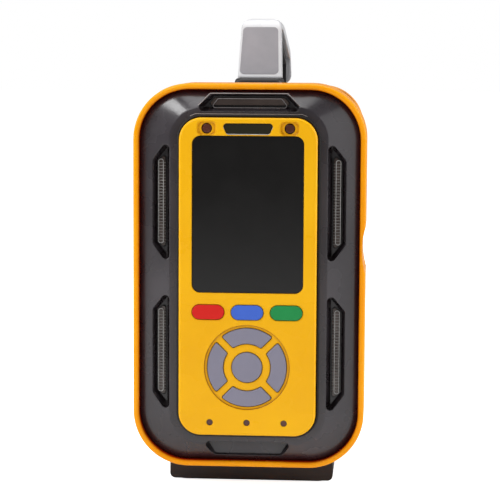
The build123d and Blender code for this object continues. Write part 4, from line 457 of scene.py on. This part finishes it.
# ---------------------------------------------------------------- mesh helpers
def piece(name, verts, faces, finish, smooth=True):
    """A mesh that rides on the case."""
    mesh = bpy.data.meshes.new(name)
    mesh.from_pydata([tuple(v) for v in verts], [], faces)
    form = bmesh.new()
    form.from_mesh(mesh)
    bmesh.ops.recalc_face_normals(form, faces=form.faces)
    form.to_mesh(mesh)
    form.free()
    mesh.polygons.foreach_set("use_smooth", [smooth] * len(mesh.polygons))
    mesh.materials.append(MATERIALS[finish])
    obj = bpy.data.objects.new(name, mesh)
    bpy.context.scene.collection.objects.link(obj)
    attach(obj, "body")


def sweep(path, radius, closed, verts, faces, sides=8):
    """Round wire along a path that lies in a plane facing the front; added to verts and faces."""
    start = len(verts)
    count = len(path)
    for i, point in enumerate(path):
        before = path[i - 1] if closed or i > 0 else path[i]
        after = path[(i + 1) % count] if closed or i < count - 1 else path[i]
        side = (after - before).normalized().cross(FRONT).normalized()
        for k in range(sides):
            turn = 2 * math.pi * k / sides
            verts.append(point + radius * (math.cos(turn) * side + math.sin(turn) * FRONT))
    for i in range(count if closed else count - 1):
        a = start + i * sides
        b = start + ((i + 1) % count) * sides
        for k in range(sides):
            n = (k + 1) % sides
            faces.append((a + k, a + n, b + n, b + k))
    if not closed:
        last = start + (count - 1) * sides
        faces.append(tuple(start + k for k in range(sides)))
        faces.append(tuple(last + k for k in reversed(range(sides))))


def rounded(corners, radius, y, steps=6, closed=True):
    """Polygon or line of (x, z) corners with the corners rounded, as points in the plane at y."""
    flat = [Vector(corner) for corner in corners]
    points = []
    for i, corner in enumerate(flat):
        if not closed and i in (0, len(flat) - 1):
            points.append(corner)
            continue
        into = (flat[i - 1] - corner).normalized()
        out = (flat[(i + 1) % len(flat)] - corner).normalized()
        half = into.angle(out) / 2
        reach = radius / math.tan(half)
        centre = corner + (into + out).normalized() * radius / math.sin(half)
        first = corner + into * reach - centre
        final = corner + out * reach - centre
        for k in range(steps + 1):
            t = k / steps
            points.append(centre + (first * (1 - t) + final * t).normalized() * radius)
    return [Vector((p.x, y, p.y)) for p in points]


def in_metres(pairs):
    return [(x * MM, z * MM) for x, z in pairs]


# ---------------------------------------------------------------- side lenses
def side_lens(place):
    """Ribs across one side lens, cut to its sloping ends, and the rail round them; the ribs' light grey
    and the rail's bright tone are painted highlights.
    """
    node = "side_lens_" + place
    side = -1 if "left" in place else 1
    front_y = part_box(node)[0].y
    face = [v.co for v in nodes[node].data.vertices if v.co.y < front_y + LENS_FACE_DEPTH]
    outer = max(abs(v.x) for v in face)
    inner = min(abs(v.x) for v in face)
    width = outer - inner
    outer_z = [v.z for v in face if abs(v.x) > outer - LENS_EDGE_BAND]
    inner_z = [v.z for v in face if abs(v.x) < inner + LENS_EDGE_BAND]
    slope = max(min(outer_z) - min(inner_z), RIB_PITCH)

    verts, faces = [], []
    z = min(inner_z) + RIB_PITCH
    while z < max(inner_z) - RIB_PITCH:
        past = max(min(outer_z) - z, z - max(outer_z), 0.0)
        reach = outer - width * past / slope
        if reach > inner + RIB_PITCH:
            ends = (inner - RIB_PAST_INNER, reach + RIB_PAST_OUTER)
            sweep([Vector((side * x, front_y, z)) for x in ends], RIB_RADIUS, False, verts, faces)
        z += RIB_PITCH
    piece("lens_ribs_" + place, verts, faces, "lens_rib_glint")

    verts, faces = [], []
    rail_out = outer - RAIL_OUTER_SHARE * width
    rail_in = outer - RAIL_INNER_SHARE * width
    top = max(outer_z) + RAIL_PAST_ENDS
    bottom = min(outer_z) - RAIL_PAST_ENDS
    loop = [(rail_out, bottom), (rail_out, top), (rail_in, top), (rail_in, bottom)]
    loop = [(side * x, z) for x, z in loop]
    corner = RAIL_CORNER_SHARE * (rail_out - rail_in)
    sweep(rounded(loop, corner, front_y - RAIL_PROUD), RAIL_RADIUS, True, verts, faces)
    piece("glint_lines_" + place, verts, faces, "glint_line")


# ---------------------------------------------------------------- lines round the pockets and the face
def top_pocket_lines():
    """Thin moulded lines: round the top pocket, round its lens, and between pocket and face."""
    verts, faces = [], []
    for half_low, half_high, low_z, high_z, y, radius in TOP_LINES:
        trace = [(-half_low, low_z), (-half_high, high_z), (half_high, high_z), (half_low, low_z)]
        sweep(rounded(in_metres(trace), TOP_LINE_CORNER, y * MM), radius * MM, True, verts, faces)
    stripe = [Vector((x, TOP_STRIPE_Y, z)) for x, z in in_metres(TOP_STRIPE)]
    sweep(stripe, TOP_STRIPE_RADIUS, False, verts, faces)
    piece("top_pocket_lines", verts, faces, "pocket_line")


def face_gap_shadow():
    """Black tube in the gap between the yellow face and the frame's collar, a painted shadow for the
    shade in that gap.
    """
    low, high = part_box("face_plate")
    left, right = low.x - GAP_SHADOW_OFFSET, high.x + GAP_SHADOW_OFFSET
    bottom, top = low.z - GAP_SHADOW_OFFSET, high.z + GAP_SHADOW_OFFSET
    trace = [(left, bottom), (left, top), (right, top), (right, bottom)]
    verts, faces = [], []
    sweep(rounded(trace, GAP_SHADOW_CORNER, GAP_SHADOW_Y, GAP_SHADOW_STEPS), GAP_SHADOW_RADIUS, True, verts, faces)
    piece("face_gap_shadow", verts, faces, "gap_shadow_black")


def alarm_window_line():
    """Painted highlight: a bright line along the sides and the lower edge of the alarm window."""
    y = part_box("alarm_window")[0].y - ALARM_LINE_PROUD
    trace = rounded(in_metres(ALARM_TRACE), ALARM_CORNER, y, closed=False)
    verts, faces = [], []
    sweep(trace, ALARM_LINE_RADIUS, False, verts, faces)
    piece("alarm_window_line", verts, faces, "glint_line")


# ---------------------------------------------------------------- handle panel
def handle_panel():
    """Flat grey panel with rounded corners on the leaning front leg."""
    foot_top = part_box("handle_feet")[1].z
    grip_low, grip_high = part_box("handle_shell")
    rise = grip_high.z - foot_top
    lean = Vector((0, HANDLE_LEAN, rise)).normalized()
    out = Vector((0, -lean.z, lean.y))
    start = Vector((0, grip_low.y, foot_top))
    high = rise / lean.z - PANEL_BELOW_TOP
    (low_left, low_right), (high_left, high_right) = PANEL_SIDES
    corners = [(low_left, PANEL_LOW), (high_left, high), (high_right, high), (low_right, PANEL_LOW)]
    ring = rounded(corners, PANEL_CORNER, 0.0)
    front = [start + Vector((p.x, 0, 0)) + lean * p.z + out * PANEL_PROUD for p in ring]
    back = [v - out * PANEL_THICKNESS for v in front]
    count = len(ring)
    faces = [tuple(range(count)), tuple(reversed(range(count, 2 * count)))]
    for k in range(count):
        n = (k + 1) % count
        faces.append((k, n, count + n, count + k))
    piece("handle_panel", front + back, faces, "handle_panel", smooth=False)


for lens in ("upper_left", "lower_left", "upper_right", "lower_right"):
    side_lens(lens)
top_pocket_lines()
face_gap_shadow()
alarm_window_line()
handle_panel()


# ---------------------------------------------------------------- floor, light and camera
def floor():
    """Pale paper floor that the camera sees as white, with a soft contact shadow."""
    mesh = bpy.data.meshes.new("floor")
    form = bmesh.new()
    bmesh.ops.create_grid(form, x_segments=1, y_segments=1, size=FLOOR_SIZE)
    form.to_mesh(mesh)
    form.free()
    sheet = bpy.data.objects.new("floor", mesh)
    bpy.context.scene.collection.objects.link(sheet)
    s = Surface("floor_paper")
    s.colour((0.90, 0.90, 0.90), (0.93, 0.93, 0.93), 0.4)
    s.set(Roughness=0.9, Emission_Color=(1, 1, 1, 1))
    rays = s.tree.nodes.new("ShaderNodeLightPath")
    glow = s.tree.nodes.new("ShaderNodeMath")
    glow.operation = "MULTIPLY"
    glow.inputs[1].default_value = FLOOR_GLOW
    s.link(rays.outputs["Is Camera Ray"], glow.inputs[0])
    s.link(glow.outputs[0], s.shader.inputs["Emission Strength"])
    mesh.materials.append(s.material)


def lamp(name, place, target, size, watts):
    """Rectangular soft lamp turned to its target."""
    data = bpy.data.lights.new(name, "AREA")
    data.shape = "RECTANGLE"
    data.size, data.size_y = size
    data.energy = watts
    light = bpy.data.objects.new(name, data)
    light.location = place
    light.rotation_mode = "QUATERNION"
    light.rotation_quaternion = (Vector(target) - Vector(place)).to_track_quat("-Z", "Y")
    bpy.context.scene.collection.objects.link(light)


def backdrop(tree, strength):
    """White background node of the given strength."""
    node = tree.nodes.new("ShaderNodeBackground")
    node.inputs["Color"].default_value = (1, 1, 1, 1)
    node.inputs["Strength"].default_value = strength
    return node.outputs[0]


def world():
    """White to the camera, and a dimmer even light on the object."""
    sky = bpy.data.worlds.new("studio")
    sky.use_nodes = True
    tree = sky.node_tree
    tree.nodes.clear()
    out = tree.nodes.new("ShaderNodeOutputWorld")
    rays = tree.nodes.new("ShaderNodeLightPath")
    mix = tree.nodes.new("ShaderNodeMixShader")
    tree.links.new(rays.outputs["Is Camera Ray"], mix.inputs[0])
    tree.links.new(backdrop(tree, SKY_LIGHT), mix.inputs[1])
    tree.links.new(backdrop(tree, SKY_SEEN), mix.inputs[2])
    tree.links.new(mix.outputs[0], out.inputs["Surface"])
    bpy.context.scene.world = sky


def camera():
    data = bpy.data.cameras.new("camera")
    data.sensor_width = SENSOR_WIDTH
    data.lens = CAMERA_LENS
    data.clip_end = CAMERA_REACH
    view = bpy.data.objects.new("camera", data)
    view.location = CAMERA_PLACE
    view.rotation_mode = "QUATERNION"
    level = (CAMERA_AIM - CAMERA_PLACE).to_track_quat("-Z", "Y")
    view.rotation_quaternion = level @ Quaternion((0, 0, 1), CAMERA_ROLL)
    bpy.context.scene.collection.objects.link(view)
    bpy.context.scene.camera = view


floor()
world()
camera()
for row in LAMPS:
    lamp(*row)
bpy.context.scene.view_settings.view_transform = "Standard"
